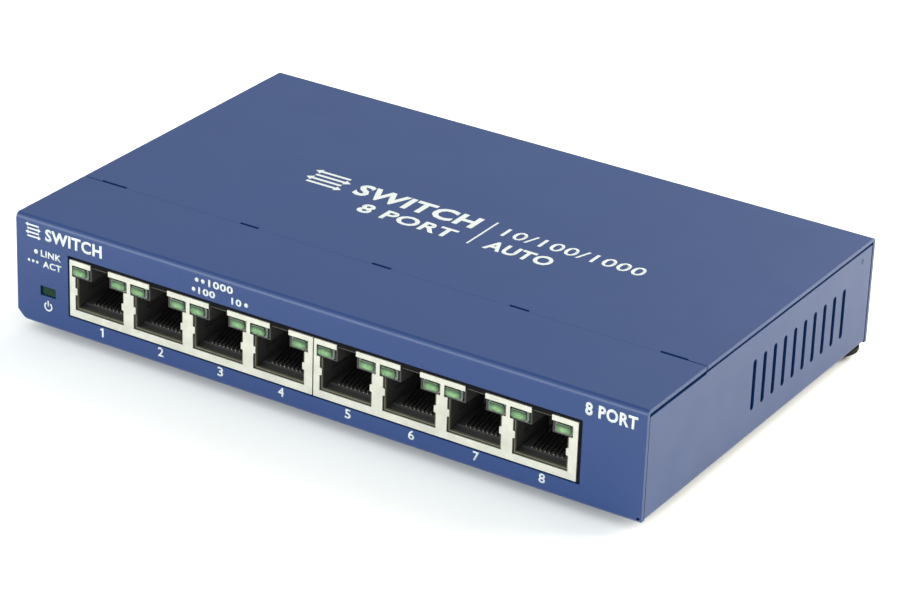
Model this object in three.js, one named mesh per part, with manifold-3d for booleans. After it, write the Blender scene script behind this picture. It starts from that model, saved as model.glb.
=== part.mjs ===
// Eight-port desktop network switch in a folded sheet-steel case.
// Millimetres, +Z up, the ports face -Y. The origin is the centre of the footprint, on the table.
//
// The case is two folded sheets. The base tray is the floor, both sides, the front panel and a
// short lip over the front. The top cover is the rear panel and the rest of the top: its tongues
// hook under the lip, and two screws in the rear panel hold it. Undo them and it slides off
// backwards.

import * as THREE from 'three';
import { mergeVertices } from 'three/addons/utils/BufferGeometryUtils.js';
import Module from 'manifold-3d';

const wasm = await Module();
wasm.setup();

// ---------- driving dimensions ----------

const CASE_WIDTH = 158;
const CASE_DEPTH = 101;
const CASE_HEIGHT = 25.6;
const FOOT_HEIGHT = 2.8;
const SHEET = 0.9;
const BEND_RADIUS = 1.2;
const LIP_DEPTH = 24.1;

const SEAM_GAP = 0.3; // between two sheets that meet edge to edge
const REST_GAP = 0.05; // between two flat pieces where one stands on the other
const FIT_GAP = 0.35; // all round a piece that sits in a hole

const PORTS_PER_BLOCK = 4;
const PORT_PITCH = 15.75;
const JACK_BLOCK_WIDTH = 63.9;
const JACK_BLOCK_GAP = 0.3;
const JACK_ROW_OFFSET = -0.6; // the two blocks sit this far left of the case's middle
const PORT_SHIFT = -0.25; // and the ports this far left of their block's middle
const JACK_DEPTH = 17;
const JACK_RECESS = 0.2; // the shields' faces sit this far behind the front panel's face
const JACK_HEIGHT = 13.45;
const SHIELD_SHEET = 0.3;

const BOARD_THICKNESS = 1.6;
const BOARD_WIDTH = 151;
const BOARD_DEPTH = 95;
const STANDOFF_HEIGHT = 2.2;

const SCREW_HEAD_HEIGHT = 1.2;

// ---------- levels and edges that follow from them ----------

const HALF_WIDTH = CASE_WIDTH / 2;
const FRONT = -CASE_DEPTH / 2;
const REAR = CASE_DEPTH / 2;
const FLOOR = FOOT_HEIGHT; // underside of the case
const TOP = FLOOR + CASE_HEIGHT;
const SEAM = FRONT + LIP_DEPTH;
const BOARD_UNDERSIDE = FLOOR + SHEET + STANDOFF_HEIGHT;
const BOARD_TOP = BOARD_UNDERSIDE + BOARD_THICKNESS;
const BOARD_FRONT = FRONT + SHEET + 0.7;
const BOARD_REAR = BOARD_FRONT + BOARD_DEPTH;
const JACK_BASE = BOARD_TOP + REST_GAP;
const SIDE_REAR = REAR - SHEET - 0.45; // the sides and the floor stop short of the rear panel
const SCREW_X = 71;
const SCREW_Z = FLOOR + 12.8;
const POWER_LED = { x: -70.5, z: FLOOR + 8.7, width: 4.2, height: 2.3 };
const DC_JACK = { x: 52, width: 9, height: 11, depth: 14, bore: 6.3, pin: 2.1 };
const LOCK_SLOT = { x: -48, z: FLOOR + 14, width: 7.2, height: 3.1 };
const BOARD_SCREWS = [[-66, -24], [66, -24], [-66, 36], [66, 36]];
const KEYHOLES = [[-45, 16], [45, 16]];
const KEYHOLE = { head: 7.6, shank: 3.8, reach: 6.5 };

// ---------- solid helpers ----------

// A closed three.js geometry as a solid that can be joined and cut.
function solid(geometry) {
  const plain = geometry.clone();
  plain.deleteAttribute('normal');
  plain.deleteAttribute('uv');
  const merged = mergeVertices(plain, 1e-4);
  const mesh = new wasm.Mesh({
    numProp: 3,
    vertProperties: new Float32Array(merged.attributes.position.array),
    triVerts: new Uint32Array(merged.index.array),
  });
  return new wasm.Manifold(mesh);
}

function geometryOf(body) {
  const mesh = body.getMesh();
  const geometry = new THREE.BufferGeometry();
  geometry.setAttribute('position', new THREE.BufferAttribute(mesh.vertProperties, 3));
  geometry.setIndex(new THREE.BufferAttribute(mesh.triVerts, 1));
  geometry.computeVertexNormals();
  return geometry;
}

function join(...bodies) {
  return bodies.reduce((whole, body) => whole.add(body));
}

function cut(whole, ...tools) {
  return tools.reduce((rest, tool) => rest.subtract(tool), whole);
}

// Box between two corners.
function block([x0, x1], [y0, y1], [z0, z1]) {
  const geometry = new THREE.BoxGeometry(x1 - x0, y1 - y0, z1 - z0);
  geometry.translate((x0 + x1) / 2, (y0 + y1) / 2, (z0 + z1) / 2);
  return solid(geometry);
}

// Outline in the two axes across `axis`, pushed along it from `start` to `end`.
// Across X the outline is (y, z), across Y it is (x, z) and across Z it is (x, y).
function push(shape, axis, start, end, steps = 3) {
  const geometry = new THREE.ExtrudeGeometry(shape, {
    depth: end - start,
    bevelEnabled: false,
    curveSegments: steps,
  });
  const place = new THREE.Matrix4();
  const x = new THREE.Vector3(1, 0, 0);
  const y = new THREE.Vector3(0, 1, 0);
  const z = new THREE.Vector3(0, 0, 1);
  if (axis === 'x') {
    place.makeBasis(y, z, x).setPosition(start, 0, 0);
  } else if (axis === 'y') {
    place.makeBasis(x, z, y.clone().negate()).setPosition(0, end, 0);
  } else {
    place.setPosition(0, 0, start);
  }
  geometry.applyMatrix4(place);
  return solid(geometry);
}

function rod(axis, radius, [u, v], start, end, sides = 16) {
  const circle = new THREE.Shape();
  circle.absarc(u, v, radius, 0, 2 * Math.PI, false);
  return push(circle, axis, start, end, sides);
}

function roundedRectangle([u0, u1], [v0, v1], radius) {
  const shape = new THREE.Shape();
  shape.moveTo(u0 + radius, v0);
  shape.absarc(u1 - radius, v0 + radius, radius, -Math.PI / 2, 0, false);
  shape.absarc(u1 - radius, v1 - radius, radius, 0, Math.PI / 2, false);
  shape.absarc(u0 + radius, v1 - radius, radius, Math.PI / 2, Math.PI, false);
  shape.absarc(u0 + radius, v0 + radius, radius, Math.PI, 1.5 * Math.PI, false);
  return shape;
}

function polygon(points) {
  return new THREE.Shape(points.map(([u, v]) => new THREE.Vector2(u, v)));
}

// ---------- materials ----------

const FINISH = {
  paint: { color: 0x3f5d9c, roughness: 0.45, metalness: 0.1 },
  tin: { color: 0xd8d4c6, roughness: 0.35, metalness: 0.9 },
  steel: { color: 0xa9adb2, roughness: 0.35, metalness: 1 },
  blackPlastic: { color: 0x161618, roughness: 0.5, metalness: 0 },
  greenLens: { color: 0x6fb96e, roughness: 0.25, metalness: 0 },
  darkLens: { color: 0x1e5a32, roughness: 0.3, metalness: 0 },
  rubber: { color: 0x1b1b1c, roughness: 0.85, metalness: 0 },
  laminate: { color: 0x1d5c39, roughness: 0.5, metalness: 0 },
  chip: { color: 0x232325, roughness: 0.6, metalness: 0 },
  aluminium: { color: 0xb9bcbf, roughness: 0.4, metalness: 0.9 },
  ferrite: { color: 0x3a3a3d, roughness: 0.7, metalness: 0 },
  sleeve: { color: 0x2b2f4a, roughness: 0.4, metalness: 0 },
};

const switchUnit = new THREE.Group();

// Half a screw head further forward, so that the footprint's centre is the origin.
const caseGroup = new THREE.Group();
caseGroup.position.y = -SCREW_HEAD_HEIGHT / 2;
switchUnit.add(caseGroup);

function addPart(name, body, finish, place = [0, 0, 0]) {
  const material = new THREE.MeshStandardMaterial(FINISH[finish]);
  const mesh = new THREE.Mesh(geometryOf(body), material);
  mesh.name = name;
  mesh.position.set(...place);
  caseGroup.add(mesh);
}

// ---------- base tray ----------

// Floor, front panel and lip as one folded strip, seen from the side as (y, z).
function frontFold() {
  const inner = BEND_RADIUS - SHEET;
  const lowY = FRONT + BEND_RADIUS;
  const lowZ = FLOOR + BEND_RADIUS;
  const highZ = TOP - BEND_RADIUS;
  const floorEnd = FRONT + 8;
  const shape = new THREE.Shape();
  shape.moveTo(floorEnd, FLOOR + SHEET);
  shape.lineTo(floorEnd, FLOOR);
  shape.absarc(lowY, lowZ, BEND_RADIUS, 1.5 * Math.PI, Math.PI, true);
  shape.absarc(lowY, highZ, BEND_RADIUS, Math.PI, Math.PI / 2, true);
  shape.lineTo(SEAM, TOP);
  shape.lineTo(SEAM, TOP - SHEET);
  shape.absarc(lowY, highZ, inner, Math.PI / 2, Math.PI, false);
  shape.absarc(lowY, lowZ, inner, Math.PI, 1.5 * Math.PI, false);
  return push(shape, 'x', -HALF_WIDTH, HALF_WIDTH);
}

// Everything inside the case's outer faces, with the bends between the floor and the sides.
function envelope() {
  const bend = HALF_WIDTH - BEND_RADIUS;
  const lowZ = FLOOR + BEND_RADIUS;
  const shape = new THREE.Shape();
  shape.moveTo(HALF_WIDTH, TOP);
  shape.lineTo(-HALF_WIDTH, TOP);
  shape.absarc(-bend, lowZ, BEND_RADIUS, Math.PI, 1.5 * Math.PI, false);
  shape.absarc(bend, lowZ, BEND_RADIUS, 1.5 * Math.PI, 2 * Math.PI, false);
  return push(shape, 'y', FRONT - 1, REAR + 1);
}

const SIDE_GAP_UNDER_LIP = 0.85;
const SIDE_GAP_UNDER_COVER = 0.6;

// Floor and both sides as one folded strip, seen from the front as (x, z).
function sideFold() {
  const inner = BEND_RADIUS - SHEET;
  const sideTop = TOP - SHEET - SIDE_GAP_UNDER_COVER;
  const outer = HALF_WIDTH;
  const bend = HALF_WIDTH - BEND_RADIUS;
  const lowZ = FLOOR + BEND_RADIUS;
  const shape = new THREE.Shape();
  shape.moveTo(-outer + SHEET, sideTop);
  shape.lineTo(-outer, sideTop);
  shape.absarc(-bend, lowZ, BEND_RADIUS, Math.PI, 1.5 * Math.PI, false);
  shape.absarc(bend, lowZ, BEND_RADIUS, 1.5 * Math.PI, 2 * Math.PI, false);
  shape.lineTo(outer, sideTop);
  shape.lineTo(outer - SHEET, sideTop);
  shape.absarc(bend, lowZ, inner, 2 * Math.PI, 1.5 * Math.PI, true);
  shape.absarc(-bend, lowZ, inner, 1.5 * Math.PI, Math.PI, true);
  return push(shape, 'y', FRONT + SHEET, SIDE_REAR);
}

const VENTS = { count: 10, first: -4.5, pitch: 4.57, width: 1.5, bottom: FLOOR + 6.3, top: FLOOR + 18.2 };

// Upright cooling slots with round ends, through both sides.
function ventCutters() {
  const slots = [];
  for (let i = 0; i < VENTS.count; i += 1) {
    const y = VENTS.first + i * VENTS.pitch;
    const half = VENTS.width / 2;
    const outline = roundedRectangle([y - half, y + half], [VENTS.bottom, VENTS.top], half - 0.01);
    slots.push(push(outline, 'x', -HALF_WIDTH - 1, HALF_WIDTH + 1, 1));
  }
  return slots;
}

// Wall-mounting keyholes in the floor: the head goes through the round end, the shank slides on.
function keyholeCutters() {
  return KEYHOLES.flatMap(([x, y]) => {
    const half = KEYHOLE.shank / 2;
    const slot = roundedRectangle([x - half, x + half], [y - half, y + KEYHOLE.reach], half - 0.01);
    return [
      rod('z', KEYHOLE.head / 2, [x, y], FLOOR - 1, FLOOR + SHEET + 1),
      push(slot, 'z', FLOOR - 1, FLOOR + SHEET + 1),
    ];
  });
}

const TAB = { inner: 66, bottom: FLOOR + 6, top: FLOOR + 18.6, thickness: SHEET };
const TAB_REAR = REAR - SHEET - SEAM_GAP;
// The front panel's lower corners are clipped, the right one less and with a small relief hole.
const CORNER_CUTS = [{ side: -1, size: 2.5, depth: 1.7 }, { side: 1, size: 0.5, depth: 1.3 }];
const RELIEF = { x: HALF_WIDTH - 1.05, z: FLOOR + 1.05, radius: 0.45 };

function baseTray() {
  const tabs = [-1, 1].map((side) => {
    const span = [side * TAB.inner, side * (HALF_WIDTH - SHEET / 2)].sort((a, b) => a - b);
    return block(span, [TAB_REAR - TAB.thickness, TAB_REAR], [TAB.bottom, TAB.top]);
  });
  const tabHoles = [-1, 1].map((side) => {
    return rod('y', 1.5 + FIT_GAP, [side * SCREW_X, SCREW_Z], REAR - 6, REAR + 1);
  });
  const left = JACK_ROW_OFFSET - JACK_BLOCK_WIDTH - JACK_BLOCK_GAP / 2;
  const right = JACK_ROW_OFFSET + JACK_BLOCK_WIDTH + JACK_BLOCK_GAP / 2;
  const jackWindow = block(
    [left - 0.3, right + 1.05],
    [FRONT - 1, FRONT + SHEET + 0.5],
    [JACK_BASE - 0.25, JACK_BASE + JACK_HEIGHT + 0.95],
  );
  const ledWindow = block(
    [POWER_LED.x - POWER_LED.width / 2, POWER_LED.x + POWER_LED.width / 2],
    [FRONT - 1, FRONT + SHEET + 0.5],
    [POWER_LED.z - POWER_LED.height / 2, POWER_LED.z + POWER_LED.height / 2],
  );
  const cornerCuts = CORNER_CUTS.map(({ side, size, depth }) => {
    const reach = size + 2;
    return push(polygon([
      [side * (HALF_WIDTH + 1), FLOOR - 1],
      [side * (HALF_WIDTH + 1), FLOOR - 1 + reach],
      [side * (HALF_WIDTH + 1 - reach), FLOOR - 1],
    ]), 'y', FRONT - 1, FRONT + depth);
  });
  const relief = rod('y', RELIEF.radius, [RELIEF.x, RELIEF.z], FRONT - 1, FRONT + SHEET + 0.5, 6);
  const lowerLip = [-1, 1].map((side) => {
    const span = [side * (HALF_WIDTH + 1), side * (HALF_WIDTH - SHEET - 1)].sort((a, b) => a - b);
    const sideTop = TOP - SHEET - SIDE_GAP_UNDER_LIP;
    return block(span, [FRONT + SHEET + 0.1, SEAM], [sideTop, TOP - SHEET]);
  });
  return cut(
    join(frontFold().intersect(envelope()), sideFold(), ...tabs),
    jackWindow,
    ledWindow,
    ...tabHoles,
    ...cornerCuts,
    relief,
    ...lowerLip,
    ...ventCutters(),
    ...keyholeCutters(),
  );
}

addPart('base_tray', baseTray(), 'paint');

// ---------- top cover ----------

const NOTCHES = [[-74.2, -67.4], [-36.6, -31.8], [-2.3, 2.6], [32.0, 36.8], [68.0, 74.4]];
const NOTCH_DEPTH = 0.5; // gap between the lip and the cover at the notches
const JOGGLE = 0.65; // behind the lip the tongues start to dip by this much
const TONGUE_DEPTH = 6;
const FLANGE_DROP = 5.5;
const FLANGE_HALF_WIDTH = HALF_WIDTH - SHEET - FIT_GAP;
const DC_HOLE_RADIUS = 4.6;
const DC_AXIS_Z = BOARD_TOP + REST_GAP + 6.4;

// Top and rear panel as one folded strip, seen from the side as (y, z).
function topAndRear() {
  const inner = BEND_RADIUS - SHEET;
  const bendY = REAR - BEND_RADIUS;
  const bendZ = TOP - BEND_RADIUS;
  const panelBottom = FLOOR + 0.1;
  const shape = new THREE.Shape();
  shape.moveTo(SEAM + JOGGLE, TOP);
  shape.lineTo(SEAM + JOGGLE, TOP - SHEET);
  shape.absarc(bendY, bendZ, inner, Math.PI / 2, 0, true);
  shape.lineTo(REAR - SHEET, panelBottom);
  shape.lineTo(REAR, panelBottom);
  shape.absarc(bendY, bendZ, BEND_RADIUS, 0, Math.PI / 2, false);
  return push(shape, 'x', -HALF_WIDTH, HALF_WIDTH);
}

// Joggled tongue seen from the side: it dips behind the lip and reaches forward under it.
function tongueOutline() {
  const drop = SHEET + SEAM_GAP;
  return polygon([
    [SEAM + JOGGLE + 0.1, TOP],
    [SEAM + JOGGLE, TOP],
    [SEAM, TOP - drop],
    [SEAM - TONGUE_DEPTH, TOP - drop],
    [SEAM - TONGUE_DEPTH, TOP - drop - SHEET],
    [SEAM + 0.3, TOP - drop - SHEET],
    [SEAM + JOGGLE + 0.4, TOP - SHEET],
    [SEAM + JOGGLE + 0.4, TOP - SHEET / 2],
  ]);
}

function topCover() {
  const edges = [-HALF_WIDTH, ...NOTCHES.flat(), HALF_WIDTH];
  const tongues = [];
  const shoulders = [];
  for (let i = 0; i + 1 < edges.length; i += 1) {
    const [start, end] = [edges[i], edges[i + 1]];
    const corner = i === 0 || i + 2 === edges.length;
    if (i % 2 === 0 && !corner) {
      tongues.push(push(tongueOutline(), 'x', start, end));
    } else {
      const gap = corner ? SEAM_GAP : NOTCH_DEPTH;
      shoulders.push(block([start, end], [SEAM + gap, SEAM + JOGGLE + 0.1], [TOP - SHEET, TOP]));
    }
  }
  const flanges = [-1, 1].map((side) => {
    const span = [side * FLANGE_HALF_WIDTH, side * (FLANGE_HALF_WIDTH - SHEET)];
    return block(span.sort((a, b) => a - b), [SEAM + 4, REAR - 3], [TOP - FLANGE_DROP, TOP - SHEET / 2]);
  });
  const screwHoles = [-1, 1].map((side) => {
    return rod('y', 1.5 + FIT_GAP, [side * SCREW_X, SCREW_Z], REAR - 2, REAR + 1);
  });
  const lockSlot = roundedRectangle(
    [LOCK_SLOT.x - LOCK_SLOT.width / 2, LOCK_SLOT.x + LOCK_SLOT.width / 2],
    [LOCK_SLOT.z - LOCK_SLOT.height / 2, LOCK_SLOT.z + LOCK_SLOT.height / 2],
    1,
  );
  return cut(
    join(topAndRear(), ...tongues, ...shoulders, ...flanges),
    ...screwHoles,
    rod('y', DC_HOLE_RADIUS, [DC_JACK.x, DC_AXIS_Z], REAR - 2, REAR + 1, 24),
    push(lockSlot, 'y', REAR - 2, REAR + 1),
  );
}

addPart('top_cover', topCover(), 'paint');

// ---------- screws, standoffs and feet ----------

function recess(axis, [u, v], from, to) {
  const arm = 1.5;
  const half = 0.3;
  const cross = [[[-arm, arm], [-half, half]], [[-half, half], [-arm, arm]]];
  return cross.map(([du, dv]) => {
    return push(polygon([
      [u + du[0], v + dv[0]],
      [u + du[1], v + dv[0]],
      [u + du[1], v + dv[1]],
      [u + du[0], v + dv[1]],
    ]), axis, from, to);
  });
}

// Pan-head screw that holds the cover, its head outside the rear panel.
function coverScrew() {
  const head = rod('y', 2.9, [0, 0], REST_GAP, SCREW_HEAD_HEIGHT, 20);
  const shank = rod('y', 1.5, [0, 0], -6, REST_GAP + 0.2, 12);
  const slots = recess('y', [0, 0], SCREW_HEAD_HEIGHT - 0.7, SCREW_HEAD_HEIGHT + 1);
  return cut(join(head, shank), ...slots);
}

addPart('cover_screw_left', coverScrew(), 'steel', [-SCREW_X, REAR, SCREW_Z]);
addPart('cover_screw_right', coverScrew(), 'steel', [SCREW_X, REAR, SCREW_Z]);

function boardScrew() {
  const head = rod('z', 2.7, [0, 0], REST_GAP, 1.8, 20);
  const shank = rod('z', 1.2, [0, 0], -BOARD_THICKNESS - STANDOFF_HEIGHT + 0.5, REST_GAP + 0.2, 12);
  return cut(join(head, shank), ...recess('z', [0, 0], 1, 3));
}

// Threaded spacer pressed into the floor: a ring turned about its own axis.
function boardStandoff() {
  const low = REST_GAP;
  const high = STANDOFF_HEIGHT - REST_GAP;
  const outline = [[1.6, low], [3, low], [3, high], [1.6, high], [1.6, low]];
  const ring = new THREE.LatheGeometry(outline.map(([r, z]) => new THREE.Vector2(r, z)), 16);
  ring.rotateX(Math.PI / 2);
  return solid(ring);
}

BOARD_SCREWS.forEach(([x, y], i) => {
  addPart(`board_screw_${i + 1}`, boardScrew(), 'steel', [x, y, BOARD_TOP]);
  addPart(`board_standoff_${i + 1}`, boardStandoff(), 'steel', [x, y, FLOOR + SHEET]);
});

const FOOT_RADIUS = 3.8;
const FEET = {
  foot_front_left: [-HALF_WIDTH + 10, FRONT + 13],
  foot_front_right: [HALF_WIDTH - 10, FRONT + 13],
  foot_rear_left: [-HALF_WIDTH + 3.9, REAR - 3.9],
  foot_rear_right: [HALF_WIDTH - 3.9, REAR - 3.9],
};

function foot() {
  return rod('z', FOOT_RADIUS, [0, 0], 0, FOOT_HEIGHT - REST_GAP, 12);
}

Object.entries(FEET).forEach(([name, [x, y]]) => {
  addPart(name, foot(), 'rubber', [x, y, 0]);
});

// ---------- circuit board ----------

function circuitBoard() {
  const half = BOARD_WIDTH / 2;
  const outline = roundedRectangle([-half, half], [BOARD_FRONT, BOARD_REAR], 1);
  const holes = BOARD_SCREWS.map(([x, y]) => {
    return rod('z', 1.2 + FIT_GAP, [x, y], BOARD_UNDERSIDE - 1, BOARD_TOP + 1, 12);
  });
  return cut(push(outline, 'z', BOARD_UNDERSIDE, BOARD_TOP), ...holes);
}

addPart('circuit_board', circuitBoard(), 'laminate');

// ---------- port blocks ----------

// Half widths and heights of one port window, measured from the port's centre line and the
// jack's base: the plug mouth, the wider band for the two lamps, and the latch channel on top.
const PORT = {
  mouth: 6.55,
  mouthBottom: 1.7,
  lampBand: 7.4,
  lampBottom: 9.55,
  lampTop: 12.25,
  latch: 2.4,
  latchTop: JACK_HEIGHT + 0.5,
  springBottom: 5.25,
  springTop: 7,
  springIn: 0.55,
};
const WINDOW_STEPS = [
  [PORT.mouth, PORT.mouthBottom],
  [PORT.mouth, PORT.springBottom],
  [PORT.mouth - PORT.springIn, PORT.springBottom],
  [PORT.mouth - PORT.springIn, PORT.springTop],
  [PORT.mouth, PORT.springTop],
  [PORT.mouth, PORT.lampBottom],
  [PORT.lampBand, PORT.lampBottom],
  [PORT.lampBand, PORT.lampTop],
  [PORT.latch, PORT.lampTop],
  [PORT.latch, PORT.latchTop],
];

const BLOCK_CENTRES = [-1, 1].map((side) => {
  return JACK_ROW_OFFSET + side * (JACK_BLOCK_WIDTH + JACK_BLOCK_GAP) / 2;
});
const PORT_OFFSETS = [...Array(PORTS_PER_BLOCK).keys()].map((i) => {
  return PORT_SHIFT + (i - (PORTS_PER_BLOCK - 1) / 2) * PORT_PITCH;
});

function windowOutline(centre) {
  const right = WINDOW_STEPS.map(([x, z]) => [centre + x, z]);
  const left = WINDOW_STEPS.map(([x, z]) => [centre - x, z]).reverse();
  return polygon([...right, ...left]);
}

// Tin-plated shield round one block: front, sides, top and back, open towards the board.
function jackShield() {
  const half = JACK_BLOCK_WIDTH / 2;
  const inside = half - SHIELD_SHEET;
  const shell = block([-half, half], [0, JACK_DEPTH], [0, JACK_HEIGHT]);
  const hollow = block(
    [-inside, inside],
    [SHIELD_SHEET, JACK_DEPTH - SHIELD_SHEET],
    [-1, JACK_HEIGHT - SHIELD_SHEET],
  );
  const windows = PORT_OFFSETS.map((x) => push(windowOutline(x), 'y', -1, SHIELD_SHEET + 0.1));
  return cut(shell, hollow, ...windows);
}

const HOUSING = { cavity: 6.3, bottom: 1.95, top: 9.35, depth: 14.2, lampDepth: 4.8, latchDepth: 10 };
const LAMP_POCKET = { inner: 2.85, bottom: 9.65, top: 12.35 };
const HOUSING_FRONT = SHIELD_SHEET + 0.2;

// Moulded body inside the shield. Each port has a plug cavity, a latch channel above it and a
// pocket for a lamp on either side of the channel.
function jackHousing() {
  const half = JACK_BLOCK_WIDTH / 2 - SHIELD_SHEET - 0.25;
  const back = JACK_DEPTH - SHIELD_SHEET - 0.25;
  const top = JACK_HEIGHT - SHIELD_SHEET - 0.2;
  const body = block([-half, half], [HOUSING_FRONT, back], [0, top]);
  const cavities = PORT_OFFSETS.flatMap((x) => [
    block([x - HOUSING.cavity, x + HOUSING.cavity], [0, HOUSING.depth], [HOUSING.bottom, HOUSING.top]),
    block([x - PORT.latch, x + PORT.latch], [0, HOUSING.latchDepth], [HOUSING.top - 1, top + 1]),
    ...[-1, 1].map((side) => {
      const span = [x + side * LAMP_POCKET.inner, x + side * PORT.lampBand].sort((a, b) => a - b);
      return block(span, [0, HOUSING.lampDepth], [LAMP_POCKET.bottom, LAMP_POCKET.top]);
    }),
  ]);
  return cut(body, ...cavities);
}

const CONTACTS = { count: 8, pitch: 1.02, width: 0.45, front: 3, carrierTop: 2.9, high: 4.9, reach: 11.4 };

// Carrier on a port's floor with eight spring contacts, which rise from its front towards the back.
function contactInsert() {
  const low = HOUSING.bottom + REST_GAP;
  const back = HOUSING.depth - REST_GAP;
  const half = HOUSING.cavity - FIT_GAP;
  const carrier = block([-half, half], [CONTACTS.front, back], [low, CONTACTS.carrierTop]);
  const springs = [];
  for (let i = 0; i < CONTACTS.count; i += 1) {
    const x = (i - (CONTACTS.count - 1) / 2) * CONTACTS.pitch;
    const ramp = polygon([
      [CONTACTS.front + 0.2, low + 0.2],
      [CONTACTS.reach + 1.2, low + 0.2],
      [CONTACTS.reach + 1.2, CONTACTS.high],
      [CONTACTS.reach, CONTACTS.high],
      [CONTACTS.front + 0.2, CONTACTS.carrierTop],
    ]);
    springs.push(push(ramp, 'x', x - CONTACTS.width / 2, x + CONTACTS.width / 2));
  }
  return join(carrier, ...springs);
}

const LAMP = { gap: 0.15, proud: 0.15, back: HOUSING.lampDepth - REST_GAP };

// Clear green lamp beside the latch channel; side -1 is left of the port's centre, +1 right.
function portLamp(side) {
  const inner = LAMP_POCKET.inner + LAMP.gap;
  const outer = PORT.lampBand - LAMP.gap;
  const span = [side * inner, side * outer].sort((a, b) => a - b);
  const lens = roundedRectangle(span, [LAMP_POCKET.bottom + REST_GAP, PORT.lampTop - LAMP.gap], 0.5);
  return push(lens, 'y', -LAMP.proud, LAMP.back);
}

const SIDE_NAMES = ['left', 'right'];
BLOCK_CENTRES.forEach((centre, b) => {
  const place = [centre, FRONT + JACK_RECESS, JACK_BASE];
  addPart(`jack_shield_${SIDE_NAMES[b]}`, jackShield(), 'tin', place);
  addPart(`jack_housing_${SIDE_NAMES[b]}`, jackHousing(), 'blackPlastic', place);
  PORT_OFFSETS.forEach((x, i) => {
    const port = b * PORTS_PER_BLOCK + i + 1;
    const portPlace = [centre + x, FRONT + JACK_RECESS, JACK_BASE];
    addPart(`contact_insert_${port}`, contactInsert(), 'blackPlastic', portPlace);
    addPart(`led_left_${port}`, portLamp(-1), 'greenLens', portPlace);
    addPart(`led_right_${port}`, portLamp(1), 'greenLens', portPlace);
  });
});

// ---------- power lamp and power inlet ----------

// Lens in the front panel and its foot down to the board.
function powerLamp() {
  const half = POWER_LED.width / 2 - 0.12;
  const rise = POWER_LED.height / 2 - 0.12;
  const lens = block([-half, half], [0.05, 6], [POWER_LED.z - rise, POWER_LED.z + rise]);
  const leg = block([-half, half], [2.5, 6], [BOARD_TOP + REST_GAP, POWER_LED.z]);
  return join(lens, leg);
}

addPart('power_led', powerLamp(), 'darkLens', [POWER_LED.x, FRONT, 0]);

function dcJack() {
  const half = DC_JACK.width / 2;
  const front = -DC_JACK.depth;
  const mouth = -SHEET - SEAM_GAP;
  const floor = BOARD_TOP + REST_GAP;
  const body = block([-half, half], [front, mouth], [floor, floor + DC_JACK.height]);
  const bore = rod('y', DC_JACK.bore / 2, [0, DC_AXIS_Z], front + 3, 1, 24);
  const pin = rod('y', DC_JACK.pin / 2, [0, DC_AXIS_Z], front + 2, mouth - 1, 10);
  return join(cut(body, bore), pin);
}

addPart('dc_jack', dcJack(), 'blackPlastic', [DC_JACK.x, REAR, 0]);

// ---------- parts on the board ----------

const ON_BOARD = BOARD_TOP + REST_GAP;

function chip(width, depth, height) {
  return block([-width / 2, width / 2], [-depth / 2, depth / 2], [0, height]);
}

const SWITCH_CHIP = { size: 20, height: 1.6, x: 0, y: -6 };
addPart('switch_chip', chip(SWITCH_CHIP.size, SWITCH_CHIP.size, SWITCH_CHIP.height), 'chip',
  [SWITCH_CHIP.x, SWITCH_CHIP.y, ON_BOARD]);

// Aluminium heat sink: a base plate with upright fins.
function heatsink() {
  const size = 26;
  const base = 1.8;
  const fin = { count: 8, thickness: 1, height: 9 };
  const plate = chip(size, size, base);
  const fins = [];
  for (let i = 0; i < fin.count; i += 1) {
    const x = (i / (fin.count - 1) - 0.5) * (size - fin.thickness);
    const span = [x - fin.thickness / 2, x + fin.thickness / 2];
    fins.push(block(span, [-size / 2, size / 2], [base - 0.2, fin.height]));
  }
  return join(plate, ...fins);
}

addPart('heatsink', heatsink(), 'aluminium',
  [SWITCH_CHIP.x, SWITCH_CHIP.y, ON_BOARD + SWITCH_CHIP.height + REST_GAP]);

// Line transformers, one for each pair of ports, in a row behind the jacks.
const TRANSFORMER = { width: 26, depth: 10, height: 5.8, y: -26.5 };
BLOCK_CENTRES.forEach((centre, b) => {
  [-1, 1].forEach((side, i) => {
    const x = centre + side * PORT_PITCH;
    const body = push(
      roundedRectangle(
        [-TRANSFORMER.width / 2, TRANSFORMER.width / 2],
        [-TRANSFORMER.depth / 2, TRANSFORMER.depth / 2],
        0.6,
      ), 'z', 0, TRANSFORMER.height,
    );
    addPart(`transformer_${b * 2 + i + 1}`, body, 'chip', [x, TRANSFORMER.y, ON_BOARD]);
  });
});

function crystal() {
  return push(roundedRectangle([-5.5, 5.5], [-2.3, 2.3], 2.2), 'z', 0, 3.6, 4);
}

addPart('crystal', crystal(), 'steel', [-26, -2, ON_BOARD]);
addPart('memory_chip', chip(5, 4, 1.7), 'chip', [-26, 12, ON_BOARD]);
addPart('regulator_chip', chip(6.6, 6.2, 2.3), 'chip', [30, 24, ON_BOARD]);

const CAPACITORS = [[38, 37], [27, 37]];
CAPACITORS.forEach(([x, y], i) => {
  addPart(`capacitor_${i + 1}`, rod('z', 4, [0, 0], 0, 11.5, 24), 'sleeve', [x, y, ON_BOARD]);
});

const INDUCTORS = [[44, 24], [16, 24]];
INDUCTORS.forEach(([x, y], i) => {
  const core = push(roundedRectangle([-5, 5], [-5, 5], 1.8), 'z', 0, 4.5);
  addPart(`inductor_${i + 1}`, core, 'ferrite', [x, y, ON_BOARD]);
});

export default switchUnit;
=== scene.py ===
"""Looks of an eight-port desktop network switch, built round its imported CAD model.

Lengths are millimetres in the row frame (+X right seen from the ports, +Y to the rear, +Z up) until a
piece is finished, when its mesh is scaled to metres.
"""

import math
import random

import bmesh
import bpy
from mathutils import Matrix, Vector


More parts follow.
